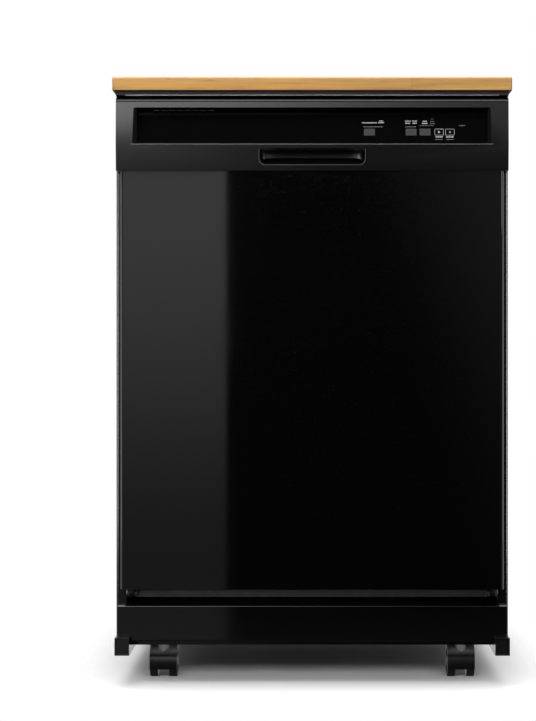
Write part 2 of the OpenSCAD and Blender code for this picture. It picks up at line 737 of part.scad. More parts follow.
// Pumps, each with a neck that meets an outlet of the sump
pump_neck = 24;
volute_r = 32;
volute_end = 62;
motor_r = 28;
motor_end = 150;
motor_cap = 8;
motor_slot = 3;
module wash_pump() color([0.25, 0.25, 0.27]) {
    y = hub[1] + outlet_side;
    rod_x(-outlet_x - pump_neck, -outlet_x - seat_gap, y, pump_z, wash_outlet_r);
    difference() {
        union() {
            rod_x(-outlet_x - volute_end, -outlet_x - pump_neck + 4, y, pump_z, volute_r);
            rod_x(-outlet_x - motor_end, -outlet_x - volute_end, y, pump_z, motor_r);
            rod_x(-outlet_x - motor_end - motor_cap, -outlet_x - motor_end, y, pump_z, motor_r - 16);
        }
        for (a = [0 : 30 : 330])
            translate([0, y, pump_z]) rotate([a, 0, 0])
                block([-outlet_x - motor_end + 8, -outlet_x - volute_end - 8], [-2, 2],
                    [motor_r - motor_slot, motor_r + 2]);
    }
}
drain_body_r = 24;
drain_body_end = 50;
drain_motor_r = 18;
drain_motor_end = 96;
drain_spout = 44;
drain_spout_r = 7;
module drain_pump() color([0.2, 0.2, 0.22]) {
    y = hub[1] - outlet_side;
    rod_x(outlet_x + seat_gap, outlet_x + pump_neck, y, pump_z, drain_outlet_r);
    rod_x(outlet_x + pump_neck - 4, outlet_x + drain_body_end, y, pump_z, drain_body_r);
    rod_x(outlet_x + drain_body_end, outlet_x + drain_motor_end, y, pump_z, drain_motor_r);
    rod_y(y, y + drain_spout, outlet_x + drain_body_end - 15, pump_z + 12, drain_spout_r);
}
valve_foot = [36, 42, 6];
valve_r = 15;
valve_h = 50;
valve_spout = 34;
module inlet_valve() color([0.85, 0.85, 0.84]) {
    x = fill_fitting[0];
    block([x - valve_foot[0] / 2, x + valve_foot[0] / 2],
        [caster_y + 20 - valve_foot[1], caster_y + 20], [rail_top, rail_top + valve_foot[2]]);
    rod_z(rail_top + valve_foot[2] - 1, rail_top + valve_h, x, caster_y, valve_r);
    rod_z(rail_top + valve_h, rail_top + valve_h + 16, x, caster_y, valve_r - 8);
    rod_y(caster_y, caster_y + valve_spout, x, rail_top + valve_h / 2 + 1, valve_r - 6);
}

// Balance springs of the door, hooked between the front legs and an ear on each base rail
module door_springs() color([0.45, 0.46, 0.48]) both_sides() {
    rod_y(-leg_back + 42, spring_back - 50, spring_x, spring_z, spring_r);
    rod_y(-leg_back + seat_gap, spring_back, spring_x, spring_z, spring_hook_r);
}

// ---------- racks ----------

wire_fn = 8;
module wire_x(x0, x1, y, z, d) rod_x(x0, x1, y, z, d / 2, $fn = wire_fn);
module wire_y(y0, y1, x, z, d) rod_y(y0, y1, x, z, d / 2, $fn = wire_fn);
module wire_z(z0, z1, x, y, d) rod_z(z0, z1, x, y, d / 2, $fn = wire_fn);

// Closed wire loop with round corners
module wire_loop(half, y0, y1, z, d, r) {
    wire_x(-half + r, half - r, y0, z, d);
    wire_x(-half + r, half - r, y1, z, d);
    wire_y(y0 + r, y1 - r, -half, z, d);
    wire_y(y0 + r, y1 - r, half, z, d);
    for (c = [[half - r, y1 - r, 0], [-half + r, y1 - r, 90],
            [-half + r, y0 + r, 180], [half - r, y0 + r, 270]])
        translate([c[0], c[1], z]) rotate([0, 0, c[2]])
            rotate_extrude(angle = 90, $fn = 32) translate([r, 0]) circle(d / 2, $fn = wire_fn);
}

loop_r = 30;
weld = 0.8;

// Wire rack: rim, lower loop and floor wires, uprights and rows of tines, welded into one piece
module wire_rack(half, y0, y1, z, h, columns, rows, tine_rows, tine_columns, tines) {
    step = (rim_wire + thin_wire) / 2 - weld;
    wire_loop(half, y0, y1, z, rim_wire, loop_r);
    wire_loop(half, y0, y1, z + h, rim_wire, loop_r);
    x_run = half - loop_r - 4;
    y_run = (y1 - y0) / 2 - loop_r - 4;
    y_mid = (y0 + y1) / 2;
    for (i = [0 : columns]) let (x = -x_run + 2 * x_run * i / columns) {
        wire_y(y0 - 1, y1 + 1, x, z - step, thin_wire);
        for (y = [y0 + step, y1 - step]) wire_z(z - step, z + h + 1, x, y, thin_wire);
    }
    for (i = [0 : rows]) let (y = y_mid - y_run + 2 * y_run * i / rows) {
        wire_x(-half - 1, half + 1, y, z - step + thin_wire - weld, thin_wire);
        for (s = [-1, 1]) wire_z(z - 1, z + h + 1, s * (half - step), y, thin_wire);
    }
    for (y = tine_rows, i = tine_columns)
        wire_z(z - step, z + tines, -x_run + 2 * x_run * i / columns, y, thin_wire);
}

lower_columns = 10;
lower_rows = 9;
lower_tine_rows = [-180, -60, 60, 170];
module lower_rack() color([0.55, 0.57, 0.6])
    wire_rack(lower_half, -lower_front, lower_back, lower_z, lower_h, lower_columns, lower_rows,
        lower_tine_rows, [1 : lower_columns - 2], tine_h);

rack_wheel_y = [-200, -70, 60, 180];
rack_wheel_w = 9;
rack_wheel_z = track_z + seat_gap + rack_wheel_d / 2;
rack_wheel_x = (track_x[0] + track_x[1]) / 2 - 3.5;
module lower_rack_wheels() color([0.5, 0.51, 0.53]) both_sides() for (y = rack_wheel_y) {
    rod_x(rack_wheel_x - rack_wheel_w / 2, rack_wheel_x + rack_wheel_w / 2, y, rack_wheel_z,
        rack_wheel_d / 2);
    rod_x(lower_half + rim_wire / 2 + seat_gap, rack_wheel_x, y, rack_wheel_z, 4);
    block([lower_half + rim_wire / 2 + seat_gap, lower_half + rim_wire / 2 + seat_gap + 2.5],
        [y - 8, y + 8], [rack_wheel_z - 4, lower_z + 6]);
}

basket_z = lower_z - (rim_wire + thin_wire) / 2 + 1.5 * thin_wire + seat_gap;
basket_h = 98;
basket_len = 220;
basket = [[lower_half - 88, lower_half - 12], [-basket_len / 2, basket_len / 2],
    [basket_z, basket_z + basket_h]];
basket_wall = 2;
basket_cells = [2, 5];
module silverware_basket() color([0.5, 0.51, 0.53]) {
    x = basket[0];
    y = basket[1];
    z = basket[2];
    cell = [(x[1] - x[0] - basket_wall) / basket_cells[0], (y[1] - y[0] - basket_wall) / basket_cells[1]];
    difference() {
        block(x, y, z);
        for (i = [0 : basket_cells[0] - 1], j = [0 : basket_cells[1] - 1])
            block([x[0] + basket_wall + i * cell[0], x[0] + (i + 1) * cell[0]],
                [y[0] + basket_wall + j * cell[1], y[0] + (j + 1) * cell[1]],
                [z[0] + basket_wall, z[1] + past]);
        for (j = [0 : basket_cells[1] - 1], k = [0 : 2])
            block([x[0] - past, x[1] + past],
                [y[0] + j * cell[1] + 10, y[0] + (j + 1) * cell[1] - 8],
                [z[0] + 14 + k * 26, z[0] + 28 + k * 26]);
    }
    mid = (x[0] + x[1]) / 2;
    difference() {
        block([mid - 3, mid + 3], [-60, 60], [z[1] - 20, z[1] + 30]);
        block([mid - 4, mid + 4], [-50, 50], [z[1] - 10, z[1] + 22]);
    }
}

slide_x = [tub_x - 22, tub_x - 6];
slide_z = upper_z + 32;
slide_h = 20;
slide_wall = 2;
slide_y = [-262, 228];
module rack_slides() color([0.75, 0.76, 0.78]) both_sides() difference() {
    block(slide_x, slide_y, [slide_z, slide_z + slide_h]);
    block([slide_x[0] - past, slide_x[1] - slide_wall], [slide_y[0] + 4, slide_y[1] - 4],
        [slide_z + slide_wall, slide_z + slide_h - slide_wall]);
}

guide_y = [[-250, -215], [-60, -25]];
guide_t = 5;
module slide_guides() color([0.5, 0.51, 0.53]) both_sides() for (y = guide_y) difference() {
    block([slide_x[0] + 4, tub_x - seat_gap], y, [slide_z - guide_t, slide_z + slide_h + guide_t]);
    block([slide_x[0] - past, slide_x[1] + seat_gap], [y[0] - past, y[1] + past],
        [slide_z - seat_gap, slide_z + slide_h + seat_gap]);
}

upper_columns = 10;
upper_rows = 9;
upper_tine_rows = [-150, 90];
module upper_rack() color([0.55, 0.57, 0.6])
    wire_rack(upper_half, -upper_front, upper_back, upper_z, upper_h, upper_columns, upper_rows,
        upper_tine_rows, [1 : upper_columns - 1], tine_h - 20);

roller_y = [-15, 15, 175, 205];
roller_r = (slide_h - 2 * slide_wall) / 2 - seat_gap;
module upper_rack_rollers() color([0.5, 0.51, 0.53]) both_sides() {
    x0 = upper_half + rim_wire / 2 + seat_gap;
    for (y = roller_y) {
        rod_x(slide_x[0] + 1, slide_x[1] - slide_wall - 1, y, slide_z + slide_h / 2, roller_r);
        rod_x(x0, slide_x[0] + 2, y, slide_z + slide_h / 2, 3.5);
    }
    for (y = [[roller_y[0] - 8, roller_y[1] + 8], [roller_y[2] - 8, roller_y[3] + 8]])
        block([x0, x0 + 3], y, [upper_z - 2, slide_z + slide_h]);
}

upper_arm_z = upper_z - 34;
module upper_arm_feed() color([0.5, 0.51, 0.53]) difference() {
    union() {
        rod_y(hub[1], upper_back + 6, 0, dock_z, dock_r);
        rod_z(upper_arm_z + 2.3, dock_z, hub[0], hub[1], 9);
        rod_z(upper_arm_z - 5.7, dock_z, hub[0], hub[1], 5.7);
        rod_y(upper_back - 4, upper_back + 6, 0, dock_z, dock_r + 3);
        for (y = [hub[1], 120])
            block([-6, 6], [y - 6, y + 6], [dock_z, upper_z - rim_wire / 2 - thin_wire + 0.6]);
    }
    rod_y(hub[1] + 2, upper_back + 7, 0, dock_z, dock_r - 2.5);
}

// Spray arm: two tapered blades, a hub and a row of nozzles
module spray_arm(reach, z, hub_r, hub_h) {
    arm_h = 9;
    translate([hub[0], hub[1], z]) difference() {
        union() {
            for (s = [0, 180]) rotate([0, 0, s]) linear_extrude(arm_h) polygon(concat(
                [[0, -17]], arc(reach - 12, 0, 12, -80, 80), [[0, 17]]));
            rod_z(-hub_h, arm_h, 0, 0, hub_r);
        }
        for (s = [0, 180], r = [60 : 34 : reach - 20]) rotate([0, 0, s])
            rod_z(arm_h - 2, arm_h + past, r, 3, 2.2);
        for (s = [0, 180]) rotate([0, 0, s])
            block([hub_r + 8, reach - 16], [-7, 7], [2, arm_h - 2]);
    }
}
module lower_spray_arm() color([0.5, 0.51, 0.53]) difference() {
    spray_arm(tub_x - 43, post_top + 2, 22, 6);
    rod_z(post_top - 10, post_top + seat_gap, hub[0], hub[1], hub_post_r + seat_gap);
}
module upper_spray_arm() color([0.5, 0.51, 0.53]) difference() {
    spray_arm(upper_half - 25, upper_arm_z - 7, 18, 3);
    rod_z(upper_arm_z - 6, upper_arm_z + 3, hub[0], hub[1], 6);
}

// ---------- door ----------

panel_top = console_z - 0.2;
return_x = door_w / 2 - 16.8;
liner_half = door_w / 2 - 9.3;
liner_z0 = tub_floor - 8;
liner_z1 = console_top - 4.5;
door_lip = 15;
door_screw_x = door_w / 2 - 13.3;
door_screw_pitch = 150;
door_screw_low = hinge_z + 35;
door_screw_high = liner_z1 - 35;
door_screw_z = concat([door_screw_low],
    [for (z = [door_screw_low + 120 : door_screw_pitch : door_screw_high - 60]) z], [door_screw_high]);
door_screw_r = 1.6;

module door_panel() color([0.05, 0.05, 0.06]) difference() {
    union() {
        along_z(door_z0, panel_top) difference() {
            polygon(round_rect(-door_w / 2, -door_face_y, door_w / 2, -door_back_y, door_edge_r));
            polygon(round_rect(-door_w / 2 + door_sheet, -door_face_y + door_sheet,
                door_w / 2 - door_sheet, -door_back_y - door_sheet, door_edge_r - door_sheet));
            square_from(-return_x, -door_back_y - door_sheet - past, return_x, -door_back_y + past);
        }
        for (z = [door_z0, panel_top - door_sheet]) along_z(z, z + door_sheet)
            square_from(-door_w / 2 + door_edge_r, -door_face_y + 0.2,
                door_w / 2 - door_edge_r, -door_face_y + door_lip);
    }
    both_sides() for (z = door_screw_z)
        rod_y(-door_back_y - 3, -door_back_y + past, door_screw_x, z, door_screw_r + fit_gap);
}

// Console: outer section with a crease, a rounded top edge and an open back
lower_band = 40;
crease_z = console_z + lower_band;
low_front_y = crease_y - 2.8;
top_front_y = crease_y - 2.3;
fascia_y = crease_y - 6.3;
fascia_z = crease_z + 1.5;
fascia_len = 51;
fascia_back = 6;

function console_section(inset) = concat(
    [[-door_back_y + inset, console_z + inset], [-low_front_y + inset, console_z + inset],
        [-crease_y + inset, crease_z]],
    arc(-top_front_y + console_top_r, console_top - console_top_r, console_top_r - inset, 180, 90),
    [[-door_back_y + inset, console_top - inset]]);

// A point beside the fascia, given how far it is up the fascia and out from its face
function by_fascia(up, out) = [-fascia_y + up * sin(fascia_tilt) - out * cos(fascia_tilt),
    fascia_z + up * cos(fascia_tilt) + out * sin(fascia_tilt)];
module on_fascia() translate([0, -fascia_y, fascia_z]) rotate([90 - fascia_tilt, 0, 0]) children();

module recess_cut() intersection() {
    along_x(-recess_half, recess_half) polygon([[-crease_y - 9, crease_z], [-crease_y, crease_z],
        by_fascia(0, 0), by_fascia(fascia_len, 0), [-top_front_y, crease_z + recess_h],
        [-crease_y - 9, crease_z + recess_h]]);
    along_y(-crease_y - 9, -door_back_y) polygon(soft_rect(-recess_half, crease_z - recess_r,
        recess_half, crease_z + recess_h, recess_r, 1));
    along_z(crease_z - past, console_top) polygon([[-recess_half - 9, -crease_y - 9],
        [recess_half + 9, -crease_y - 9], [fascia_half, -fascia_y], [fascia_half, -door_back_y],
        [-fascia_half, -door_back_y], [-fascia_half, -fascia_y]]);
}
module recess_shell() along_x(-recess_half - 2.5, recess_half + 2.5) polygon([
    [-crease_y + 1.5, crease_z - 2.5], by_fascia(-3, -fascia_t - fascia_back),
    by_fascia(fascia_len + 4, -fascia_t - fascia_back), [-top_front_y + 1.5, crease_z + recess_h + 2.5]]);

pocket_z = console_z + 8.6;
pocket_back = low_front_y - pocket_depth;
function pocket_section(grow) = concat(
    [[-crease_y - 9, pocket_z - grow], [-low_front_y + 2, pocket_z - grow]],
    arc(-pocket_back - 14, pocket_z + 20, 14 + grow, 300, 360),
    arc(-pocket_back - 5, pocket_z + pocket_h - 2, 5 + grow, 0, 90),
    [[-low_front_y + 6, pocket_z + pocket_h + 3 + grow], [-low_front_y + 3, pocket_z + pocket_h + grow],
        [-crease_y - 9, pocket_z + pocket_h + grow]]);
module pocket_shape(grow) intersection() {
    along_x(-pocket_half - grow, pocket_half + grow) polygon(pocket_section(grow));
    along_y(-crease_y - 9, -door_back_y) polygon(soft_rect(-pocket_half - grow, pocket_z - grow,
        pocket_half + grow, pocket_z + pocket_h + 9, 1, pocket_r + grow));
}

vent_x0 = -244;
vent_pitch = 12;
vent_count = 8;
module console() color([0.14, 0.14, 0.15]) difference() {
    union() {
        difference() {
            along_x(-console_x, console_x) polygon(console_section(0));
            along_x(-console_x + console_wall, console_x - console_wall)
                polygon(console_section(console_wall));
            block([-console_x + console_wall, console_x - console_wall],
                [-door_back_y - 10, -door_back_y + past],
                [console_z + console_wall, console_top - console_wall]);
        }
        intersection() {
            along_x(-console_x, console_x) polygon(console_section(0));
            union() {
                recess_shell();
                pocket_shape(2.5);
            }
        }
    }
    recess_cut();
    pocket_shape(0);
    on_fascia() {
        along_z(-fascia_t - seat_gap, past) polygon(soft_rect(-fascia_half, 0, fascia_half, fascia_len,
            recess_r, 1));
        block([-fascia_half + 9, fascia_half - 9], [7, fascia_len - 7], [-fascia_back - fascia_t - 9, past]);
    }
    for (i = [0 : vent_count - 1])
        block([vent_x0 + i * vent_pitch, vent_x0 + i * vent_pitch + 9], [-crease_y + 8, -crease_y + 13],
            [crease_z + recess_h - 9, crease_z + recess_h + 6]);
}

// Buttons, given as their middle across the fascia and up it, and their size
cycle_at = [88, 18.6];
first_at = [152, 18.6];
second_at = [173.5, 18.6];
start_at = [195, 18.6];
cancel_at = [211.6, 18.6];
small_w = 14.4;
cap_out = 0.6;
button_gap = 0.3;
flange_out = 0.9;
button_flange = 1.2;
stem_len = 3.7;

module button_hole(at, w, h) translate([at[0], at[1], 0])
    block([-w / 2 - button_gap, w / 2 + button_gap], [-h / 2 - button_gap, h / 2 + button_gap],
        [-fascia_t - past, past]);
module button(at, w, h) on_fascia() translate([at[0], at[1], 0]) {
    along_z(-fascia_t - seat_gap - 0.1, cap_out) polygon(round_rect(-w / 2, -h / 2, w / 2, h / 2, 1));
    block([-w / 2 - flange_out, w / 2 + flange_out], [-h / 2 - flange_out, h / 2 + flange_out],
        [-fascia_t - seat_gap - button_flange, -fascia_t - seat_gap]);
    block([-2, 2], [-2, 2], [-fascia_t - seat_gap - button_flange - stem_len, -fascia_t - seat_gap - 0.5]);
}
module fascia() color([0.02, 0.02, 0.03]) on_fascia() difference() {
    along_z(-fascia_t, 0) polygon(soft_rect(-fascia_half + 0.2, 0.2, fascia_half - 0.2, fascia_len - 0.2,
        recess_r, 1));
    for (at = [cycle_at, first_at, second_at]) button_hole(at, button_w, button_h);
    for (at = [start_at, cancel_at]) button_hole(at, small_w, button_h);
}
module cycle_button() color([0.32, 0.32, 0.33]) button(cycle_at, button_w, button_h);
module first_option_button() color([0.32, 0.32, 0.33]) button(first_at, button_w, button_h);
module second_option_button() color([0.32, 0.32, 0.33]) button(second_at, button_w, button_h);
module start_button() color([0.06, 0.06, 0.06]) button(start_at, small_w, button_h);
module cancel_button() color([0.06, 0.06, 0.06]) button(cancel_at, small_w, button_h);

board_t = 1.6;
board_post_x = [cycle_at[0] - 16, cycle_at[0] + 30, cancel_at[0] + 16.4];
board_out = -fascia_t - seat_gap - button_flange - stem_len - button_travel - seat_gap;
module control_board() color([0.1, 0.35, 0.2]) on_fascia() {
    block([cycle_at[0] - 26, cancel_at[0] + 24.4], [4, fascia_len - 4],
        [board_out - board_t, board_out]);
    for (x = board_post_x) block([x - 3, x + 3], [8.2, 14], [board_out - 0.5, -fascia_t - seat_gap]);
    block([100, 130], [24, 40], [board_out - 9, board_out - 1]);
    block([180, 200], [26, 38], [board_out - 7, board_out - 1]);
}

// Door liner: a flat rim and a raised field that stands into the tub
field_margin = 22;
field_x = door_screw_x - field_margin;
field_r = 22;
field_z = [tub_floor + 12, tub_ceiling - 12];
dispenser_w = 150;
dispenser_x = [-dispenser_w / 2, dispenser_w / 2];
dispenser_z = [372, 482];
latch_half = 22;
strike_half = 9;
strike_z = strap_z - top_rail_h + 1.5;

function field_outline(grow) = round_rect(-field_x - grow, field_z[0] - grow,
    field_x + grow, field_z[1] + grow, field_r + grow);

module door_liner() color([0.6, 0.61, 0.62]) difference() {
    union() {
        along_y(-liner_y, -liner_back_y) polygon(round_rect(-liner_half, liner_z0, liner_half, liner_z1, 4));
        along_y(-liner_y, -field_y) polygon(field_outline(0));
    }
    along_y(-liner_y - past, -field_y - liner_t) polygon(field_outline(-liner_t));
    along_y(-field_y - 2 * liner_t, -field_y + past) polygon(round_rect(dispenser_x[0], dispenser_z[0],
        dispenser_x[1], dispenser_z[1], 6));
    both_sides() for (z = door_screw_z)
        rod_y(-liner_y - past, -liner_back_y + past, door_screw_x, z, door_screw_r + fit_gap);
    block([-strike_half - 4, strike_half + 4], [-liner_y - past, -liner_back_y + past],
        [strike_z - 4.5, strike_z + 5]);
}

arm_seat = door_back_y + door_sheet + seat_gap;
module hinge_arms() color([0.45, 0.46, 0.48]) both_sides() {
    difference() {
        union() {
            along_x(arm_x0, arm_x1) {
                translate([-hinge_y, hinge_z]) circle(eye_r);
                polygon([[-hinge_y - 3, hinge_z - 3.9], [-hinge_y - 5.5, hinge_z],
                    [-hinge_y - 24, hinge_z + 22], [-hinge_y - 24, hinge_z + 150],
                    [-hinge_y - 4.5, hinge_z + 150], [-hinge_y - 4.5, hinge_z + 4],
                    [-hinge_y - 3, hinge_z + 3.9]]);
            }
            block([min(arm_x0, door_screw_x - 12.5), max(arm_x1, door_screw_x + 2.5)],
                [-arm_seat - 2.3, -arm_seat], [hinge_z + 26, hinge_z + 150]);
        }
        rod_y(-door_back_y - 6, -arm_seat + past, door_screw_x, door_screw_z[0], door_screw_r + fit_gap);
        rod_x(arm_x0 - past, arm_x1 + past, -hinge_y, hinge_z, pin_d / 2 + seat_gap);
    }
}

// Latch behind the console, its sprung bolt, and the strike that the bolt holds
latch_d = 15;
latch_h = 40;
latch_wall = 1.5;
strike_t = 2.5;
bolt_half = 4;
bolt_y = liner_y + 8.5;
bolt_t = 4;
module door_latch() color([0.85, 0.85, 0.84]) {
    z1 = strike_z + strike_t + 4;
    difference() {
        block([-latch_half, latch_half], [-liner_y - latch_d, -liner_y - seat_gap], [z1 - latch_h, z1]);
        block([-strike_half - 1, strike_half + 1], [-liner_y - latch_d + latch_wall, -liner_y + past],
            [strike_z - seat_gap - 1, z1 - latch_wall]);
        block([-bolt_half - seat_gap, bolt_half + seat_gap],
            [-bolt_y - bolt_t / 2 - seat_gap, -bolt_y + bolt_t / 2 + seat_gap],
            [z1 - latch_h + latch_wall, strike_z]);
    }
}
module latch_bolt() color([0.3, 0.3, 0.32])
    along_x(-bolt_half, bolt_half) polygon([
        [-bolt_y - bolt_t / 2, strike_z - 24], [-bolt_y + bolt_t / 2, strike_z - 24],
        [-bolt_y + bolt_t / 2, strike_z - 2], [-bolt_y + bolt_t / 2 - 1.7, strike_z - seat_gap],
        [-bolt_y - bolt_t / 2 + 1.7, strike_z - seat_gap], [-bolt_y - bolt_t / 2, strike_z - 2]]);
module door_strike() color([0.7, 0.71, 0.73]) difference() {
    block([-strike_half, strike_half], [-bolt_y - 4.5, -cabinet_front + sheet_t],
        [strike_z, strike_z + strike_t]);
    block([-bolt_half - 1, bolt_half + 1], [-bolt_y - bolt_t / 2 - 0.7, -bolt_y + bolt_t / 2 + 1.5],
        [strike_z - past, strike_z + strike_t + past]);
}

// Dispenser: a bezel on the field, a body behind it, an open detergent cup and the rinse-aid neck
bezel = 3;
bezel_t = 2.5;
cup_x = [-66, 6];
cup_z = [394, 470];
cup_deep = 26;
cup_corner_r = 6;
rinse_at = [42, 432];
rinse_r = 17;
bezel_y = field_y - bezel_t;
module dispenser() color([0.5, 0.51, 0.53]) difference() {
    union() {
        along_y(-field_y, -bezel_y) polygon(round_rect(dispenser_x[0] - bezel, dispenser_z[0] - bezel,
            dispenser_x[1] + bezel, dispenser_z[1] + bezel, 7));
        along_y(-field_y - 32, -field_y + past) polygon(round_rect(dispenser_x[0] + seat_gap,
            dispenser_z[0] + seat_gap, dispenser_x[1] - seat_gap, dispenser_z[1] - seat_gap, 6));
    }
    along_y(-bezel_y - cup_deep, -bezel_y + past)
        polygon(round_rect(cup_x[0], cup_z[0], cup_x[1], cup_z[1], cup_corner_r));
    rod_y(-bezel_y - 14, -bezel_y + past, rinse_at[0], rinse_at[1], rinse_r - 3);
}
lid_y = -bezel_y + seat_gap;
lid_t = 3;
lid_lap = 5;
lid_knuckle_r = 2.5;
lid_hinge_x = cup_x[0] - 6;
module dispenser_lid() color([0.55, 0.56, 0.58]) difference() {
    union() {
        along_y(lid_y, lid_y + lid_t) polygon(round_rect(lid_hinge_x, cup_z[0] - lid_lap,
            cup_x[1] + lid_lap, cup_z[1] + lid_lap, 3));
        rod_z(cup_z[0] - lid_lap, cup_z[1] + lid_lap, lid_hinge_x, lid_y + lid_knuckle_r, lid_knuckle_r);
    }
    block([cup_x[1] - 8, cup_x[1] - 2], [lid_y + 1.8, lid_y + lid_t + past], [cup_z[0] + 24, cup_z[1] - 24]);
}
module rinse_cap() color([0.2, 0.3, 0.55]) {
    rod_y(lid_y, lid_y + 3, rinse_at[0], rinse_at[1], rinse_r);
    rod_y(lid_y - 8, lid_y + 1, rinse_at[0], rinse_at[1], rinse_r - 4);
    block([rinse_at[0] - 2, rinse_at[0] + 2], [lid_y + 2, lid_y + 7], [rinse_at[1] - 14, rinse_at[1] + 14]);
}

module door_seal() color([0.14, 0.14, 0.15])
    block([-tub_x + 6, tub_x - 6], [-liner_back_y, -tub_front - seat_gap], [liner_z0 + 1, liner_z0 + 6]);

module door_screws() color([0.7, 0.71, 0.73]) both_sides() for (z = door_screw_z) {
    rod_y(-liner_back_y, -liner_back_y + screw_head_h, door_screw_x, z, screw_head_r);
    rod_y(-door_back_y - 4, -liner_back_y + 0.5, door_screw_x, z, door_screw_r);
}

module cabinet_screws() color([0.7, 0.71, 0.73]) both_sides() {
    for (y = strap_screw_y) {
        rod_z(strap_z - screw_head_h, strap_z, strap_x, y, screw_head_r);
        rod_z(strap_z - 0.5, worktop_z + pilot_depth - 2, strap_x, y, strap_screw_r);
    }
    for (z = back_screw_z) {
        rod_y(cabinet_back, cabinet_back + screw_head_h, back_screw_x, z, screw_head_r);
        rod_y(cabinet_back - 8, cabinet_back + 0.5, back_screw_x, z, back_screw_r);
    }
}

worktop();
top_rails();
left_side_panel();
right_side_panel();
back_panel();
hose_well();
hose_fittings();
base_frame();
access_panel();
frame_legs();
tub();
door_gasket();
sump();
filter_plate();
filter_cup();
heating_element();
water_feed_tube();
float_cap();
wash_pump();
drain_pump();
inlet_valve();
door_springs();
slide_guides();
door_strike();
cabinet_screws();
lower_rack();
lower_rack_wheels();
silverware_basket();
rack_slides();
upper_rack();
upper_rack_rollers();
upper_arm_feed();
upper_spray_arm();
lower_spray_arm();
door_panel();
console();
fascia();
door_liner();
hinge_arms();
door_latch();
latch_bolt();
control_board();
dispenser();
dispenser_lid();
rinse_cap();
door_seal();
door_screws();
cycle_button();
first_option_button();
second_option_button();
start_button();
cancel_button();
front_left_caster();
front_right_caster();
rear_left_caster();
rear_right_caster();
front_left_wheels();
front_right_wheels();
rear_left_wheels();
rear_right_wheels();
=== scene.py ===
"""Looks of a portable dishwasher on casters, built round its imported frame."""

import logging
import math
from dataclasses import dataclass
from enum import Enum
from typing import Any, Callable, Iterable, Optional, Protocol, Sequence, Union

import bmesh
import bpy
from mathutils import Matrix, Vector


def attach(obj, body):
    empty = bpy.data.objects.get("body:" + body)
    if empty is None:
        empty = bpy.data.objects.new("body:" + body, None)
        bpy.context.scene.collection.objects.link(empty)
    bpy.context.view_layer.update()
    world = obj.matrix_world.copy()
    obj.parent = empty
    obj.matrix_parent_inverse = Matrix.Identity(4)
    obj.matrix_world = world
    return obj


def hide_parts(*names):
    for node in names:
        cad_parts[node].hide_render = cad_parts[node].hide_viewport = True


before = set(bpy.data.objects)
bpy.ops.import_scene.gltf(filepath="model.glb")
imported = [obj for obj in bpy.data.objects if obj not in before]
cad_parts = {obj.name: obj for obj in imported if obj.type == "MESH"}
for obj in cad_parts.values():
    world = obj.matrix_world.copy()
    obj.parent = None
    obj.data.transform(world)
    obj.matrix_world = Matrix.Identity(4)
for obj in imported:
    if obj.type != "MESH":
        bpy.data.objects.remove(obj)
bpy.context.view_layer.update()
MM = 0.001
EDGE = 0.35 * MM
MERGE_GAP = 1e-6
WELD_GAP = 2e-6
FLAT_ANGLE = math.radians(0.6)
# The colour sockets of Blender's Mix node.
MIX_FACTOR, MIX_FIRST, MIX_SECOND, MIX_RESULT = 0, 6, 7, 2

log = logging.getLogger("dishwasher")
Point = Sequence[float]
Number = Union[float, "Signal"]


class Facing(Enum):
    """Which way a screw's head looks."""

    DOWN = (0.0, 0.0, -1.0)
    BACK = (0.0, 1.0, 0.0)


class Mark(Enum):
    """Signs printed on the fascia and the buttons: outlines in halves of their size."""

    DASHES = ()
    FRAME = (
        (-1, -0.8), (-0.86, -1), (0.86, -1), (1, -0.8), (1, 0.8), (0.86, 1), (-0.86, 1), (-1, 0.8),
    )
    PLAY = ((-0.8, -1), (1, 0), (-0.8, 1))
    CROSS = (
        (1, 0.74), (0.26, 0), (1, -0.74), (0.74, -1), (0, -0.26), (-0.74, -1),
        (-1, -0.74), (-0.26, 0), (-1, 0.74), (-0.74, 1), (0, 0.26), (0.74, 1),
    )
    TENT = ((-1, -1), (-0.5, -1), (0, 0.2), (0.5, -1), (1, -1), (0, 1))


# ---------- materials ----------


@dataclass(frozen=True)
class Signal:
    """An output socket on which Python's arithmetic adds Math nodes."""

    graph: "Graph"
    socket: bpy.types.NodeSocket

    def _math(self, operation: str, first: Number, second: Number = 0.0) -> "Signal":
        """Add one Math node.

        Args:
            operation: Blender's name of the operation.
            first: the value of its first input.
            second: the value of its second input.

        Returns:
            The node's output.
        """
        return self.graph.node("ShaderNodeMath", {"operation": operation}, {0: first, 1: second})

    def __add__(self, other: Number) -> "Signal":
        """Sum."""
        return self._math("ADD", self, other)

    def __sub__(self, other: Number) -> "Signal":
        """Difference."""
        return self._math("SUBTRACT", self, other)

    def __mul__(self, other: Number) -> "Signal":
        """Product."""
        return self._math("MULTIPLY", self, other)

    def __truediv__(self, other: Number) -> "Signal":
        """Quotient."""
        return self._math("DIVIDE", self, other)

    def __rsub__(self, other: Number) -> "Signal":
        """Difference from a number."""
        return self._math("SUBTRACT", other, self)

    __radd__ = __add__
    __rmul__ = __mul__

    def floor(self) -> "Signal":
        """Round down."""
        return self._math("FLOOR", self)

    def absolute(self) -> "Signal":
        """Drop the sign."""
        return self._math("ABSOLUTE", self)

    def over(self, limit: float) -> "Signal":
        """Give 1 where the value is above a limit."""
        return self._math("GREATER_THAN", self, limit)

    def span(self, low: float, high: float, to_low: float = 0.0, to_high: float = 1.0) -> "Signal":
        """Map a stretch of values onto another, held at its ends.

        Args:
            low: the value that becomes to_low.
            high: the value that becomes to_high.
            to_low: the result at low.
            to_high: the result at high.

        Returns:
            The mapped value.
        """
        return self.graph.node(
            "ShaderNodeMapRange",
            {"interpolation_type": "SMOOTHSTEP"},
            {"Value": self, "From Min": low, "From Max": high, "To Min": to_low, "To Max": to_high},
        )


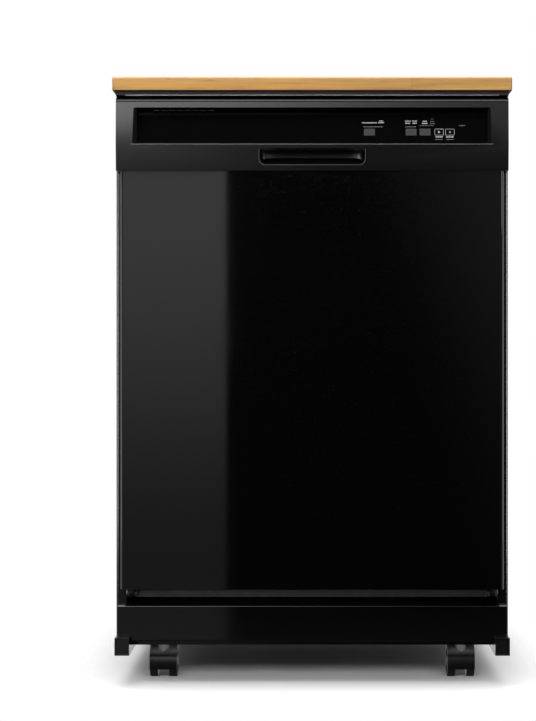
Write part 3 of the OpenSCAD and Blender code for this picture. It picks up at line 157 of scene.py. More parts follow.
class Graph:
    """The nodes of one material or world."""

    def __init__(self, owner: Union[bpy.types.Material, bpy.types.World]) -> None:
        """Start with an empty tree."""
        owner.use_nodes = True
        self.tree = owner.node_tree
        self.tree.nodes.clear()

    def node(
        self,
        kind: str,
        settings: Optional[dict[str, Any]] = None,
        inputs: Optional[dict[Union[str, int], Any]] = None,
        output: Union[str, int] = 0,
    ) -> Signal:
        """Add a node of any kind.

        Args:
            kind: the node's type.
            settings: properties that are set first; "stops" are a ramp's stops.
            inputs: values or signals of its sockets.
            output: the socket that is handed back.

        Returns:
            The signal of that output.
        """
        made = self.tree.nodes.new(kind)
        for name, value in (settings or {}).items():
            if name == "stops":
                self._set_stops(made.color_ramp, value)
            else:
                setattr(made, name, value)
        for name, value in (inputs or {}).items():
            if isinstance(value, Signal):
                self.tree.links.new(value.socket, made.inputs[name])
            else:
                made.inputs[name].default_value = value
        return Signal(self, made.outputs[output])

    @staticmethod
    def _set_stops(ramp: bpy.types.ColorRamp, stops: Sequence[tuple[float, Point]]) -> None:
        """Give a ramp its stops, each a place and a colour."""
        while len(ramp.elements) < len(stops):
            ramp.elements.new(1.0)
        for element, (place, colour) in zip(ramp.elements, stops):
            element.position = place
            element.color = (*colour, 1.0)

    def part(self, vector: Signal, axis: str) -> Signal:
        """One coordinate of a vector."""
        return self.node("ShaderNodeSeparateXYZ", inputs={0: vector}, output=axis)

    def position(self, axis: Optional[str] = None) -> Signal:
        """Object coordinates, or one of them."""
        where = self.node("ShaderNodeTexCoord", output="Object")
        return where if axis is None else self.part(where, axis)

    def stretched(self, scale: Point) -> Signal:
        """Object coordinates scaled along each axis."""
        return self.node("ShaderNodeMapping", inputs={"Vector": self.position(), "Scale": scale})

    def noise(self, scale: float, detail: float = 3.0, where: Optional[Signal] = None) -> Signal:
        """Smooth noise from 0 to 1."""
        return self.node(
            "ShaderNodeTexNoise",
            inputs={"Vector": where or self.position(), "Scale": scale, "Detail": detail},
        )

    def cells(self, scale: float, output: str = "Distance", **settings: Any) -> Signal:
        """Voronoi cells."""
        inputs = {"Vector": self.position(), "Scale": scale}
        return self.node("ShaderNodeTexVoronoi", settings, inputs, output)

    def blend(self, factor: Number, first: Any, second: Any) -> Signal:
        """Mix two colours."""
        inputs = {MIX_FACTOR: factor, MIX_FIRST: first, MIX_SECOND: second}
        return self.node("ShaderNodeMix", {"data_type": "RGBA"}, inputs, MIX_RESULT)

    def bump(self, height: Signal, distance: float, strength: float = 1.0) -> Signal:
        """Turn a height into a normal."""
        return self.node(
            "ShaderNodeBump", inputs={"Height": height, "Distance": distance, "Strength": strength}
        )

    def surface(self, inputs: dict[str, Any]) -> None:
        """Close the tree with a Principled shader."""
        self.node_out(self.node("ShaderNodeBsdfPrincipled", inputs=inputs))

    def masked(self, mask: Signal, outside: dict[str, Any], inside: dict[str, Any]) -> None:
        """Close the tree with two Principled shaders and the mask that chooses between them."""
        first, second = (
            self.node("ShaderNodeBsdfPrincipled", inputs=skin) for skin in (outside, inside)
        )
        self.node_out(self.node("ShaderNodeMixShader", inputs={0: mask, 1: first, 2: second}))

    def node_out(self, shader: Signal, kind: str = "ShaderNodeOutputMaterial") -> None:
        """Link a shader to the tree's output."""
        self.tree.links.new(shader.socket, self.tree.nodes.new(kind).inputs["Surface"])


def opaque(colour: Point) -> tuple[float, float, float, float]:
    """A colour with full alpha."""
    return (colour[0], colour[1], colour[2], 1.0)


def shade(colour: Point, factor: float) -> tuple[float, float, float, float]:
    """A colour made darker or lighter."""
    return opaque([min(1.0, c * factor) for c in colour])


def grey(value: float) -> tuple[float, float, float, float]:
    """A neutral grey."""
    return opaque([value] * 3)


@dataclass(frozen=True)
class Finish:
    """What every finish has: a name, the record's slot and a colour."""

    name: str
    slot: str
    colour: Point

    def material(self) -> bpy.types.Material:
        """Make the material once and hand out the same one afterwards."""
        title = f"finish_{self.name}"
        found = bpy.data.materials.get(title)
        if found is not None:
            return found
        made = bpy.data.materials.new(title)
        self.paint(Graph(made))
        return made

    def toned(self, graph: Graph, share: Number, first: float, second: float) -> Signal:
        """Blend between two strengths of the colour.

        Args:
            graph: the material's nodes.
            share: 0 for the first strength, 1 for the second.
            first: factor of the colour at 0.
            second: factor of the colour at 1.

        Returns:
            The blended colour.
        """
        return graph.blend(share, shade(self.colour, first), shade(self.colour, second))

    def paint(self, graph: Graph) -> None:
        """Build the nodes."""
        raise NotImplementedError


@dataclass(frozen=True)
class MapleBoard(Finish):
    """Oiled butcher-block maple, glued up from staves that run along X."""

    stave: float = 42 * MM
    block: float = 0.46
    offset: float = 0.37
    drift: float = 3.7
    ring_scale: Point = (1.2, 16, 16)
    fibre_scale: Point = (0.5, 26, 26)
    pore_scale: Point = (0.25, 9, 9)
    tones: Sequence[tuple[float, float]] = ((0.32, 0.60), (0.46, 0.93), (0.60, 1.22))
    # Below this height the board is painted near-black: painted shade on its underside.
    painted_shade_below: float = 919.2 * MM
    painted_shade_fade: float = 0.5 * MM
    underside: Point = (0.012, 0.010, 0.009, 1)
    relief: float = 0.25 * MM

    def paint(self, graph: Graph) -> None:
        """Staves, growth rings, fine pores, glue lines and painted shade on the underside."""
        across = graph.position("Y") / self.stave
        row = across.floor()
        along = graph.position("X") / self.block + row * self.offset
        cell = graph.node("ShaderNodeCombineXYZ", inputs={0: along.floor(), 1: row, 2: 0.0})
        rings = graph.noise(2.6, 4.0, self._drifted(graph, cell))
        fibre = graph.noise(22.0, 5.0, graph.stretched(self.fibre_scale))
        pores = graph.noise(60.0, 2.0, graph.stretched(self.pore_scale))
        grain = rings * 0.62 + fibre * 0.38
        staved = self._staved(graph, cell, grain)
        flecked = graph.blend(pores.span(0.64, 0.74) * 0.45, staved, shade(self.colour, 0.45))
        joint = (across - row - 0.5).absolute().span(0.487, 0.5)
        butt = (along - along.floor() - 0.5).absolute().span(0.4985, 0.5)
        seams = joint * 0.4 + butt * 0.35
        board = graph.blend(seams, flecked, shade(self.colour, 0.5))
        # Painted shade: near-black on the board's underside.
        painted_shade_top = self.painted_shade_below + self.painted_shade_fade
        under = 1.0 - graph.position("Z").span(self.painted_shade_below, painted_shade_top)
        graph.surface(
            {
                "Base Color": graph.blend(under, board, self.underside),
                "Roughness": grain * 0.2 + 0.44,
                "Normal": graph.bump(fibre * 0.4 + pores * 0.25 - seams * 0.7, self.relief, 0.5),
                "Specular IOR Level": 0.18,
            }
        )

    def _drifted(self, graph: Graph, cell: Signal) -> Signal:
        """Coordinates of the rings, which start anew in every block."""
        moved = {0: cell, "Scale": self.drift}
        shift = graph.node("ShaderNodeVectorMath", {"operation": "SCALE"}, moved)
        inputs = {0: graph.stretched(self.ring_scale), 1: shift}
        return graph.node("ShaderNodeVectorMath", {"operation": "ADD"}, inputs)

    def _staved(self, graph: Graph, cell: Signal, grain: Signal) -> Signal:
        """Colour of the grain, a little darker or lighter from block to block."""
        stops = [(place, shade(self.colour, factor)[:3]) for place, factor in self.tones]
        wood = graph.node("ShaderNodeValToRGB", {"stops": stops}, {"Fac": grain})
        tone = graph.node("ShaderNodeTexWhiteNoise", {"noise_dimensions": "3D"}, {"Vector": cell})
        return graph.blend(tone * 0.34, wood, self.toned(graph, tone.over(0.5), 0.78, 1.2))


@dataclass(frozen=True)
class Enamel(Finish):
    """Baked enamel on steel sheet: a deep gloss with a faint orange peel."""

    gloss: float = 0.07
    peel: float = 0.02
    shine: float = 0.5
    dust: Point = (0.05, 0.05, 0.052, 1)

    def paint(self, graph: Graph) -> None:
        """Orange peel, faint clouding and specks of dust."""
        peel = graph.noise(420.0, 1.0)
        cloud = graph.noise(7.0, 3.0)
        specks = graph.noise(1500.0, 0.0).span(0.78, 0.82)
        graph.surface(
            {
                "Base Color": graph.blend(specks * 0.25, opaque(self.colour), self.dust),
                "Roughness": cloud * 0.05 + specks * 0.2 + (self.gloss - 0.02),
                "Normal": graph.bump(peel, self.peel * MM, 0.25),
                "Specular IOR Level": self.shine,
            }
        )


@dataclass(frozen=True)
class Moulding(Finish):
    """Moulded plastic with a spark-eroded texture."""

    roughness: float = 0.42
    grain: float = 0.05
    pitch: float = 1400.0

    def texture(self, graph: Graph) -> Signal:
        """The spark-eroded pattern."""
        return graph.noise(self.pitch, 2.0)

    def flow(self, graph: Graph) -> Signal:
        """Soft marks that the melt left."""
        return graph.noise(5.0, 4.0, graph.stretched((0.6, 1.0, 1.4)))

    def clouded(self, graph: Graph, flow: Signal) -> Signal:
        """The colour, darker and lighter along the flow marks."""
        return self.toned(graph, flow.span(0.3, 0.7) * 0.5, 0.88, 1.1)

    def relief(self, graph: Graph, texture: Signal, strength: float = 0.6) -> Signal:
        """The pattern as a normal."""
        return graph.bump(texture, self.grain * MM, strength)

    def paint(self, graph: Graph) -> None:
        """Fine texture, soft flow marks and handling polish."""
        texture, flow = self.texture(graph), self.flow(graph)
        graph.surface(
            {
                "Base Color": self.clouded(graph, flow),
                "Roughness": flow * 0.1 + texture * 0.06 + (self.roughness - 0.08),
                "Normal": self.relief(graph, texture),
            }
        )


@dataclass(frozen=True)
class ConsoleMoulding(Moulding):
    """Satin console plastic whose recess is polished black."""

    recess_half: float = 292 * MM
    lean: float = 0.0317
    recess_front: float = -372.1 * MM
    recess_foot: float = 837.3 * MM
    recess_head: float = 892.6 * MM
    polish: Sequence[Point] = ((0.001, 0.001, 0.0011, 1), (0.0016, 0.0016, 0.0017, 1))

    def paint(self, graph: Graph) -> None:
        """Fine texture outside, polish within the recess."""
        texture, flow = self.texture(graph), self.flow(graph)
        graph.masked(
            self._recess(graph),
            {
                "Base Color": self.clouded(graph, flow),
                "Roughness": flow * 0.06 + texture * 0.05 + (self.roughness - 0.06),
                "Normal": self.relief(graph, texture, 0.35),
                "Specular IOR Level": 0.22,
            },
            {
                "Base Color": graph.blend(flow, *self.polish),
                "Roughness": flow * 0.08 + 0.12,
                "Specular IOR Level": 0.06,
            },
        )

    def _recess(self, graph: Graph) -> Signal:
        """Give 1 within the recess and 0 outside it."""
        x, y, z = (graph.position(axis) for axis in "XYZ")
        return (
            (y - z * self.lean).over(self.recess_front)
            * z.over(self.recess_foot)
            * (1.0 - z.over(self.recess_head))
            * (1.0 - x.absolute().over(self.recess_half))
        )


@dataclass(frozen=True)
class HoodMoulding(Moulding):
    """Dark moulding with a pale painted highlight on its crown."""

    # Heights where the painted highlight on the crown starts and where it is full.
    highlight_foot: float = 36 * MM
    highlight_head: float = 45 * MM
    # Colour of the painted highlight on the crown.
    dust: Point = (0.42, 0.42, 0.4368, 1)

    def paint(self, graph: Graph) -> None:
        """Fine texture, scuffs near the floor and a painted highlight on the crown."""
        texture = self.texture(graph)
        patch = graph.noise(70.0, 4.0).span(0.2, 0.6, 0.6, 1.0)
        # Painted highlight: the crown turns pale from a set height upwards, in patches.
        crown = graph.position("Z").span(self.highlight_foot, self.highlight_head) * patch
        scuff = graph.noise(190.0, 3.0, graph.stretched((0.3, 1.0, 1.0))).span(0.62, 0.74)
        worn = self.toned(graph, scuff * 0.3, 1.0, 3.0)
        graph.surface(
            {
                "Base Color": graph.blend(crown, worn, self.dust),
                "Roughness": crown * 0.25 + texture * 0.06 + (self.roughness - 0.04),
                "Normal": self.relief(graph, texture),
                "Specular IOR Level": 0.3,
            }
        )


@dataclass(frozen=True)
class ScoopMoulding(Moulding):
    """Handle pocket's plastic: dull in the middle, rubbed bright by fingers at its ends."""

    middle: float = 50 * MM
    end: float = 76 * MM

    def paint(self, graph: Graph) -> None:
        """Fine texture with a shine that grows towards both ends."""
        texture = self.texture(graph)
        rubbed = graph.position("X").absolute().span(self.middle, self.end)
        graph.surface(
            {
                "Base Color": self.toned(graph, texture * 0.4, 1.0, 1.5),
                "Roughness": rubbed * -0.5 + texture * 0.05 + self.roughness,
                "Normal": self.relief(graph, texture, 0.4),
                "Specular IOR Level": 0.25,
            }
        )


@dataclass(frozen=True)
class Polished(Finish):
    """Clear-coated or polished plastic."""

    roughness: float = 0.06
    shine: float = 0.5

    def paint(self, graph: Graph) -> None:
        """Fine wiping marks under the gloss."""
        wiping = graph.noise(90.0, 4.0, graph.stretched((0.15, 1.0, 1.0)))
        haze = graph.noise(6.0, 2.0)
        graph.surface(
            {
                "Base Color": self.toned(graph, haze * 0.3, 1.0, 1.4),
                "Roughness": wiping * 0.05 + haze * 0.03 + (self.roughness - 0.03),
                "Normal": graph.bump(wiping, 0.004 * MM, 0.3),
                "Specular IOR Level": self.shine,
            }
        )


@dataclass(frozen=True)
class PlatedSteel(Finish):
    """Zinc-plated or bare steel with rolling marks and spangle."""

    roughness: float = 0.36

    def paint(self, graph: Graph) -> None:
        """Spangle, rolling marks and dull patches."""
        spangle = graph.cells(160.0, "Color")
        tone = graph.node("ShaderNodeSeparateColor", inputs={0: spangle})
        rolling = graph.noise(240.0, 4.0)
        dull = graph.noise(14.0, 3.0).span(0.35, 0.7)
        graph.surface(
            {
                "Base Color": self.toned(graph, tone * 0.5 + rolling * 0.3, 0.78, 1.12),
                "Metallic": 1.0 - dull * 0.25,
                "Roughness": rolling * 0.16 + dull * 0.12 + (self.roughness - 0.12),
                "Normal": graph.bump(rolling, 0.02 * MM, 0.4),
            }
        )


@dataclass(frozen=True)
class CoatedWire(Finish):
    """Nylon powder fused onto wire."""

    def paint(self, graph: Graph) -> None:
        """Slightly lumpy coat with fine specks."""
        lumps = graph.noise(160.0, 2.0)
        specks = graph.noise(2100.0, 1.0).span(0.62, 0.7)
        graph.surface(
            {
                "Base Color": self.toned(graph, specks * 0.35, 1.0, 0.6),
                "Roughness": lumps * 0.16 + 0.24,
                "Normal": graph.bump(lumps, 0.12 * MM, 0.5),
            }
        )


@dataclass(frozen=True)
class TubLining(Finish):
    """Speckled grey lining of the tub and the door."""

    def paint(self, graph: Graph) -> None:
        """Speckle, water marks and a fine moulded texture."""
        speckle = graph.noise(900.0, 1.0).span(0.60, 0.66)
        pale = graph.noise(1100.0, 0.0).span(0.68, 0.72)
        marks = graph.noise(3.0, 1.0, graph.stretched((1.0, 1.0, 0.22))).span(0.25, 0.85)
        flecked = self.toned(graph, speckle * 0.4, 1.0, 0.55)
        graph.surface(
            {
                "Base Color": graph.blend(pale * 0.3, flecked, shade(self.colour, 1.35)),
                "Roughness": marks * 0.05 + speckle * 0.04 + 0.3,
                "Normal": graph.bump(graph.noise(700.0, 2.0), 0.03 * MM, 0.4),
            }
        )


@dataclass(frozen=True)
class Elastomer(Finish):
    """Rubber of the seals and treads."""

    roughness: float = 0.62

    def paint(self, graph: Graph) -> None:
        """Bloom, scuffs and a matt skin."""
        bloom = graph.noise(30.0, 5.0).span(0.4, 0.75)
        scuff = graph.noise(260.0, 3.0, graph.stretched((1.0, 0.3, 0.3))).span(0.58, 0.72)
        graph.surface(
            {
                "Base Color": self.toned(graph, bloom * 0.45 + scuff * 0.3, 1.0, 2.1),
                "Roughness": scuff * 0.15 + bloom * 0.08 + (self.roughness - 0.08),
                "Normal": graph.bump(graph.noise(600.0, 3.0) + scuff * 0.5, 0.06 * MM, 0.5),
            }
        )


@dataclass(frozen=True)
class HeaterSheath(Finish):
    """Steel sheath tinted by heat."""

    def paint(self, graph: Graph) -> None:
        """Straw and blue tints with scale."""
        tint = graph.noise(11.0, 3.0)
        scale = graph.noise(320.0, 4.0).span(0.55, 0.72)
        oxide = graph.node(
            "ShaderNodeValToRGB",
            {"stops": [(0.3, (0.34, 0.27, 0.18)), (0.5, self.colour), (0.7, (0.24, 0.26, 0.34))]},
            {"Fac": tint},
        )
        graph.surface(
            {
                "Base Color": graph.blend(scale * 0.7, oxide, (0.07, 0.06, 0.055, 1)),
                "Metallic": 1.0 - scale * 0.7,
                "Roughness": scale * 0.3 + 0.32,
                "Normal": graph.bump(scale, 0.05 * MM, 0.5),
            }
        )


@dataclass(frozen=True)
class CircuitBoard(Finish):
    """Solder mask over copper tracks."""

    def paint(self, graph: Graph) -> None:
        """Tracks as the edges of square cells, and tinned pads."""
        tracks = graph.cells(260.0, distance="CHEBYCHEV", feature="F2").span(0.52, 0.56)
        tin = 1.0 - graph.cells(330.0).span(0.13, 0.16)
        masked = self.toned(graph, tracks * 0.6, 1.0, 2.2)
        graph.surface(
            {
                "Base Color": graph.blend(tin, masked, (0.62, 0.62, 0.6, 1)),
                "Metallic": tin,
                "Roughness": 0.42 - tin * 0.12,
                "Normal": graph.bump(tracks + tin, 0.06 * MM, 0.6),
            }
        )


@dataclass(frozen=True)
class Print(Finish):
    """Screen-printed ink."""

    def paint(self, graph: Graph) -> None:
        """Slightly uneven ink."""
        ink = graph.noise(3200.0, 2.0)
        graph.surface(
            {
                "Base Color": self.toned(graph, ink * 0.3, 1.0, 0.8),
                "Roughness": ink * 0.1 + 0.45,
            }
        )


MAPLE = MapleBoard("maple_board", "maple_board", (0.505, 0.272, 0.076))
GLOSS_ENAMEL = Enamel("black_enamel", "black_steel", (0.0011, 0.0011, 0.0012), 0.035, 0.006)
SIDE_ENAMEL = Enamel("side_enamel", "black_steel", (0.0013, 0.0013, 0.0015), 0.13, 0.02, 0.42)
PANEL_ENAMEL = Enamel("panel_enamel", "black_steel", (0.003, 0.003, 0.0034), 0.06, 0.01, 0.52)
FRAME_ENAMEL = Enamel("frame_enamel", "frame_steel", (0.006, 0.006, 0.0065), 0.16, 0.04)
CONSOLE_PLASTIC = ConsoleMoulding(
    "console_moulding", "console_black", (0.002, 0.002, 0.0022), 0.22, 0.02
)
# Light grey on the black console's lip and pocket rim: a painted highlight.
HIGHLIGHT_PLASTIC = Moulding("painted_highlight_edge", "console_black", (0.11, 0.11, 0.112), 0.18, 0.01)
FASCIA_PLASTIC = Polished("fascia_gloss", "gloss_black", (0.002, 0.002, 0.0022), shine=0.15)
BUTTON_GREY = Moulding("button_grey", "button_grey", (0.058, 0.058, 0.06), 0.13, 0.01)
BUTTON_BLACK = Polished("button_black", "button_black", (0.002, 0.002, 0.0023))
SCOOP_PLASTIC = ScoopMoulding(
    "scoop_moulding", "console_black", (0.004, 0.004, 0.0043), 0.72, 0.02
)
FLAT_BLACK = Moulding("flat_black_paint", "frame_steel", (0.004, 0.004, 0.0042), 0.85, 0.03)
HOOD_PLASTIC = HoodMoulding("caster_hood", "dark_plastic", (0.006, 0.006, 0.0065), 0.38)
DARK_PLASTIC = Moulding("dark_moulding", "dark_plastic", (0.014, 0.0145, 0.0155), 0.4)
GREY_PLASTIC = Moulding("grey_moulding", "grey_plastic", (0.15, 0.155, 0.16), 0.4)
WHITE_PLASTIC = Moulding("white_moulding", "white_plastic", (0.68, 0.68, 0.65), 0.42)
BLUE_PLASTIC = Moulding("blue_moulding", "blue_plastic", (0.02, 0.08, 0.26), 0.32, 0.02)
LINING = TubLining("tub_lining", "tub_grey", (0.30, 0.305, 0.305))
RACK_COAT = CoatedWire("rack_coat", "rack_coat", (0.26, 0.275, 0.29))
ZINC = PlatedSteel("zinc_plate", "zinc_steel", (0.56, 0.57, 0.585))
HEM_STEEL = PlatedSteel("hem_steel", "steel_tube", (0.2, 0.2, 0.21), 0.35)
# Zinc plating made darker for the frame legs, which sit in shade: painted shade.
SHADED_ZINC = PlatedSteel("shaded_zinc_plate", "zinc_steel", (0.22, 0.22, 0.225), 0.45)
RUBBER = Elastomer("seal_rubber", "seal_rubber", (0.012, 0.012, 0.012))
TREAD = Elastomer("wheel_tread", "wheel_rubber", (0.010, 0.010, 0.0105), 0.5)
SHEATH = HeaterSheath("heater_sheath", "steel_tube", (0.30, 0.27, 0.24))
BOARD = CircuitBoard("circuit_board", "board_green", (0.01, 0.06, 0.025))
INK = Print("white_ink", "gloss_black", (0.31, 0.31, 0.31))
DIM_INK = Print("grey_ink", "gloss_black", (0.032, 0.032, 0.032))


# ---------- mesh tools ----------


@dataclass(frozen=True)
class Screw:
    """Sizes of a pan-head screw; from the drum on they are shares of its radius or height."""

    radius: float
    height: float
    shank: float
    length: float
    sides: int = 12
    shank_sides: int = 10
    turn: float = math.radians(15)
    drum: float = 0.7
    dome: float = 0.3
    taper: float = 0.9
    shoulder: float = 0.24
    land: float = 0.06
    arm: float = 0.5
    half: float = 0.13
    even: float = 0.05
    draft: float = 0.03
    depth: float = 0.62


def aimed(way: Vector) -> Matrix:
    """A turn that lays Z along a direction."""
    return way.to_track_quat("Z", "Y").to_matrix().to_4x4()


class Shape:
    """A bmesh that grows by operators and becomes one piece."""

    def __init__(self) -> None:
        """Start empty."""
        self.mesh = bmesh.new()

    def box(self, low: Point, high: Point, round_by: float = 0.0, segments: int = 3) -> "Shape":
        """Add a box.

        Args:
            low: its lowest corner.
            high: its highest corner.
            round_by: radius of its edges, 0 for sharp ones.
            segments: steps of a rounded edge.

        Returns:
            This shape.
        """
        size = Vector(high) - Vector(low)
        middle = (Vector(high) + Vector(low)) / 2
        matrix = Matrix.Translation(middle) @ Matrix.Diagonal((*size, 1.0))
        made = bmesh.ops.create_cube(self.mesh, size=1.0, matrix=matrix)
        if round_by:
            self.round({e for v in made["verts"] for e in v.link_edges}, round_by, segments)
        return self

    def round(self, edges: Iterable[bmesh.types.BMEdge], offset: float, segments: int) -> None:
        """Round edges by an offset in a number of steps."""
        bmesh.ops.bevel(
            self.mesh, geom=list(edges), offset=offset, offset_type="OFFSET", segments=segments,
            profile=0.5, affect="EDGES", clamp_overlap=True, material=-1,
        )

    def _cone(
        self, radii: Point, depth: float, segments: int, matrix: Matrix
    ) -> list[bmesh.types.BMVert]:
        """Add a closed cone or cylinder and hand back its vertices."""
        return bmesh.ops.create_cone(
            self.mesh, cap_ends=True, cap_tris=False, segments=segments, radius1=radii[0],
            radius2=radii[1], depth=depth, matrix=matrix,
        )["verts"]

    def _inset(
        self, faces: list[bmesh.types.BMFace], thickness: float, depth: float = 0.0
    ) -> list[bmesh.types.BMFace]:
        """Inset faces, raise them by a depth and hand back the ring round them."""
        return bmesh.ops.inset_individual(
            self.mesh, faces=faces, thickness=thickness, depth=depth
        )["faces"]

    def _push(self, faces: list[bmesh.types.BMFace], way: Point) -> None:
        """Extrude faces by a vector."""
        grown = bmesh.ops.extrude_face_region(self.mesh, geom=faces)["geom"]
        verts = [part for part in grown if isinstance(part, bmesh.types.BMVert)]
        bmesh.ops.translate(self.mesh, vec=Vector(way), verts=verts)

    def rod(self, start: Point, end: Point, radius: float, segments: int = 24) -> "Shape":
        """Add a closed rod between two points.

        Args:
            start: the middle of its first end.
            end: the middle of its last end.
            radius: its radius.
            segments: sides of its section.

        Returns:
            This shape.
        """
        axis = Vector(end) - Vector(start)
        matrix = Matrix.Translation((Vector(start) + Vector(end)) / 2) @ aimed(axis)
        self._cone((radius, radius), axis.length, segments, matrix)
        return self

    def coil(
        self, start: Point, end: Point, radius: float, wire: float, turns: float,
        steps: int = 16, sides: int = 8,
    ) -> "Shape":
        """Add a coil spring between two points along Y.

        Args:
            start: the middle of its first turn.
            end: the middle of its last turn.
            radius: radius of the coil, to the middle of the wire.
            wire: radius of the wire.
            turns: number of turns.
            steps: steps of one turn.
            sides: sides of the wire.

        Returns:
            This shape.
        """
        ring = bmesh.ops.create_circle(
            self.mesh, cap_ends=True, radius=wire, segments=sides,
            matrix=Matrix.Translation(Vector(start) + Vector((radius, 0, 0))),
        )["verts"]
        faces = {f for v in ring for f in v.link_faces}
        edges = {e for v in ring for e in v.link_edges}
        count = int(turns * steps)
        bmesh.ops.spin(
            self.mesh, geom=[*ring, *edges, *faces], cent=Vector(start), axis=(0.0, 1.0, 0.0),
            dvec=(Vector(end) - Vector(start)) / count, angle=math.tau * turns, steps=count,
        )
        return self

    def screw(self, seat: Point, way: Facing, sizes: Screw) -> "Shape":
        """Add a pan-head screw with a cross recess.

        Args:
            seat: the middle of the head's underside.
            way: where the head looks.
            sizes: its sizes.

        Returns:
            This shape.
        """
        head, height = sizes.radius, sizes.height
        drum, dome = height * sizes.drum, height * sizes.dome
        old = set(self.mesh.verts)
        self.rod((0, 0, -sizes.length), (0, 0, dome), sizes.shank, sizes.shank_sides)
        matrix = Matrix.Translation((0, 0, drum / 2)) @ Matrix.Rotation(sizes.turn, 4, "Z")
        verts = self._cone((head, head * sizes.taper), drum, sizes.sides, matrix)
        around = {f for v in verts for f in v.link_faces}
        tops = [max(around, key=lambda f: f.calc_center_median().z)]
        self.mesh.normal_update()
        self._inset(tops, head * sizes.shoulder, dome)
        self._inset(tops, head * sizes.land)
        arm, half = head * sizes.arm, head * sizes.half
        for vert in {v for f in tops for v in f.verts}:
            x, y = vert.co.x, vert.co.y
            wide = abs(abs(x) - abs(y)) < head * sizes.even
            vert.co.x = math.copysign(half if wide or abs(x) < abs(y) else arm, x)
            vert.co.y = math.copysign(half if wide or abs(y) < abs(x) else arm, y)
        self._inset(tops, head * sizes.draft, -height * sizes.depth)
        new = [v for v in self.mesh.verts if v not in old]
        matrix = Matrix.Translation(seat) @ aimed(Vector(way.value))
        bmesh.ops.transform(self.mesh, matrix=matrix, verts=new)
        return self

    def frame(self, corners: Sequence[Point], width: float, depth: Point) -> "Shape":
        """Add a flat frame inside a closed outline.

        Args:
            corners: the outline.
            width: width of the frame's bars.
            depth: the vector that it is pushed out by.

        Returns:
            This shape.
        """
        face = self.mesh.faces.new([self.mesh.verts.new(Vector(p)) for p in corners])
        face.normal_update()
        ring = self._inset([face], width)
        bmesh.ops.delete(self.mesh, geom=[face], context="FACES_ONLY")
        self._push(ring, depth)
        return self

    def outline(self, points: Sequence[Point], depth: Point) -> "Shape":
        """Add a flat outline pushed out by a vector."""
        self._push([self.mesh.faces.new([self.mesh.verts.new(Vector(p)) for p in points])], depth)
        return self

    def place(
        self, name: str, body: str, finish: Finish, smooth_below: float = 35.0,
        instead_of: Sequence[str] = (),
    ) -> None:
        """Turn the bmesh into a piece that rides on a body.

        Args:
            name: the piece's name.
            body: the CAD body that it rides on.
            finish: its finish.
            smooth_below: edges flatter than this many degrees are shaded smooth.
            instead_of: CAD nodes that it stands for.
        """
        bmesh.ops.remove_doubles(self.mesh, verts=self.mesh.verts, dist=MERGE_GAP)
        bmesh.ops.recalc_face_normals(self.mesh, faces=self.mesh.faces)
        for face in self.mesh.faces:
            face.smooth = True
        for edge in self.mesh.edges:
            edge.smooth = edge.calc_face_angle(0.0) < math.radians(smooth_below)
        data = bpy.data.meshes.new(name)
        self.mesh.to_mesh(data)
        self.mesh.free()
        piece = bpy.data.objects.new(name, data)
        bpy.context.scene.collection.objects.link(piece)
        data.materials.append(finish.material())
        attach(piece, body)
        if instead_of:
            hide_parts(*instead_of)
        log.info("piece %s on %s: %d faces", name, body, len(data.polygons))


def dress(node: str, finish: Finish, edge: float = EDGE, sharp: float = 32.0) -> None:
    """Give a CAD node its finish and softly rounded edges.

    Args:
        node: the CAD node.
        finish: its finish.
        edge: the radius of its rounded edges, 0 for none.
        sharp: edges sharper than this many degrees are rounded.
    """
    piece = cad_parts[node]
    piece.data.materials.clear()
    piece.data.materials.append(finish.material())
    piece.data.shade_smooth()
    weld = piece.modifiers.new("merge", "WELD")
    weld.merge_threshold = WELD_GAP
    flat = piece.modifiers.new("flat", "DECIMATE")
    flat.decimate_type = "DISSOLVE"
    flat.angle_limit = FLAT_ANGLE
    if edge:
        bevel = piece.modifiers.new("edges", "BEVEL")
        bevel.width = edge
        bevel.segments = 2
        bevel.limit_method = "ANGLE"
        bevel.angle_limit = math.radians(sharp)
        bevel.use_clamp_overlap = True
    even = piece.modifiers.new("even", "WEIGHTED_NORMAL")
    even.weight = 100
    even.keep_sharp = True
    log.info("node %s in %s", node, finish.name)


def dress_all(finishes: dict[str, Finish], edge: float = EDGE) -> None:
    """Dress several CAD nodes, their edges rounded alike."""
    for node, finish in finishes.items():
        dress(node, finish, edge)


# ---------- sub-assemblies ----------


class Part(Protocol):
    """What main() builds."""

    def build(self) -> None:
        """Make it."""


@dataclass
class Worktop:
    """The wooden board and the frame that carries it."""

    edge: float = 1.4 * MM
    under: float = 918.8 * MM
    strip_x: float = 299.5 * MM
    strip_y: float = -345.0 * MM
    strip_low: float = 912.2 * MM
    strip_sheet: float = 1.2 * MM
    flange: float = 6.5 * MM
    tab_low: float = 910.6 * MM
    tab_back: float = -300 * MM
    hem_x: float = 286 * MM
    hem: float = 0.85 * MM

    def build(self) -> None:
        """Dress the board and the top rails, and add the strip under the front edge."""
        dress("worktop", MAPLE, self.edge, sharp=40.0)
        dress("top_rails", FRAME_ENAMEL)
        self._front_strip()

    def _front_strip(self) -> None:
        """Folded black strip whose rolled hem catches the light."""
        x, y, sheet = self.strip_x, self.strip_y, self.strip_sheet
        low, under, lip = self.strip_low, self.under, self.strip_y + self.flange
        section = [
            (y, low), (y, under), (lip, under), (lip, under - sheet), (y + sheet, under - sheet),
            (y + sheet, low),
        ]
        strip = Shape().outline([(-x, across, up) for across, up in section], (2 * x, 0.0, 0.0))
        for side in (-1, 1):
            ends = sorted((side * x, side * (x + sheet)))
            strip.box((ends[0], y, self.tab_low), (ends[1], self.tab_back, under))
        strip.place("worktop_front_strip", "cabinet", FLAT_BLACK, smooth_below=20.0)
        start, end = ((side * self.hem_x, y + sheet / 2, low) for side in (-1, 1))
        Shape().rod(start, end, self.hem).place("worktop_strip_hem", "cabinet", HEM_STEEL)


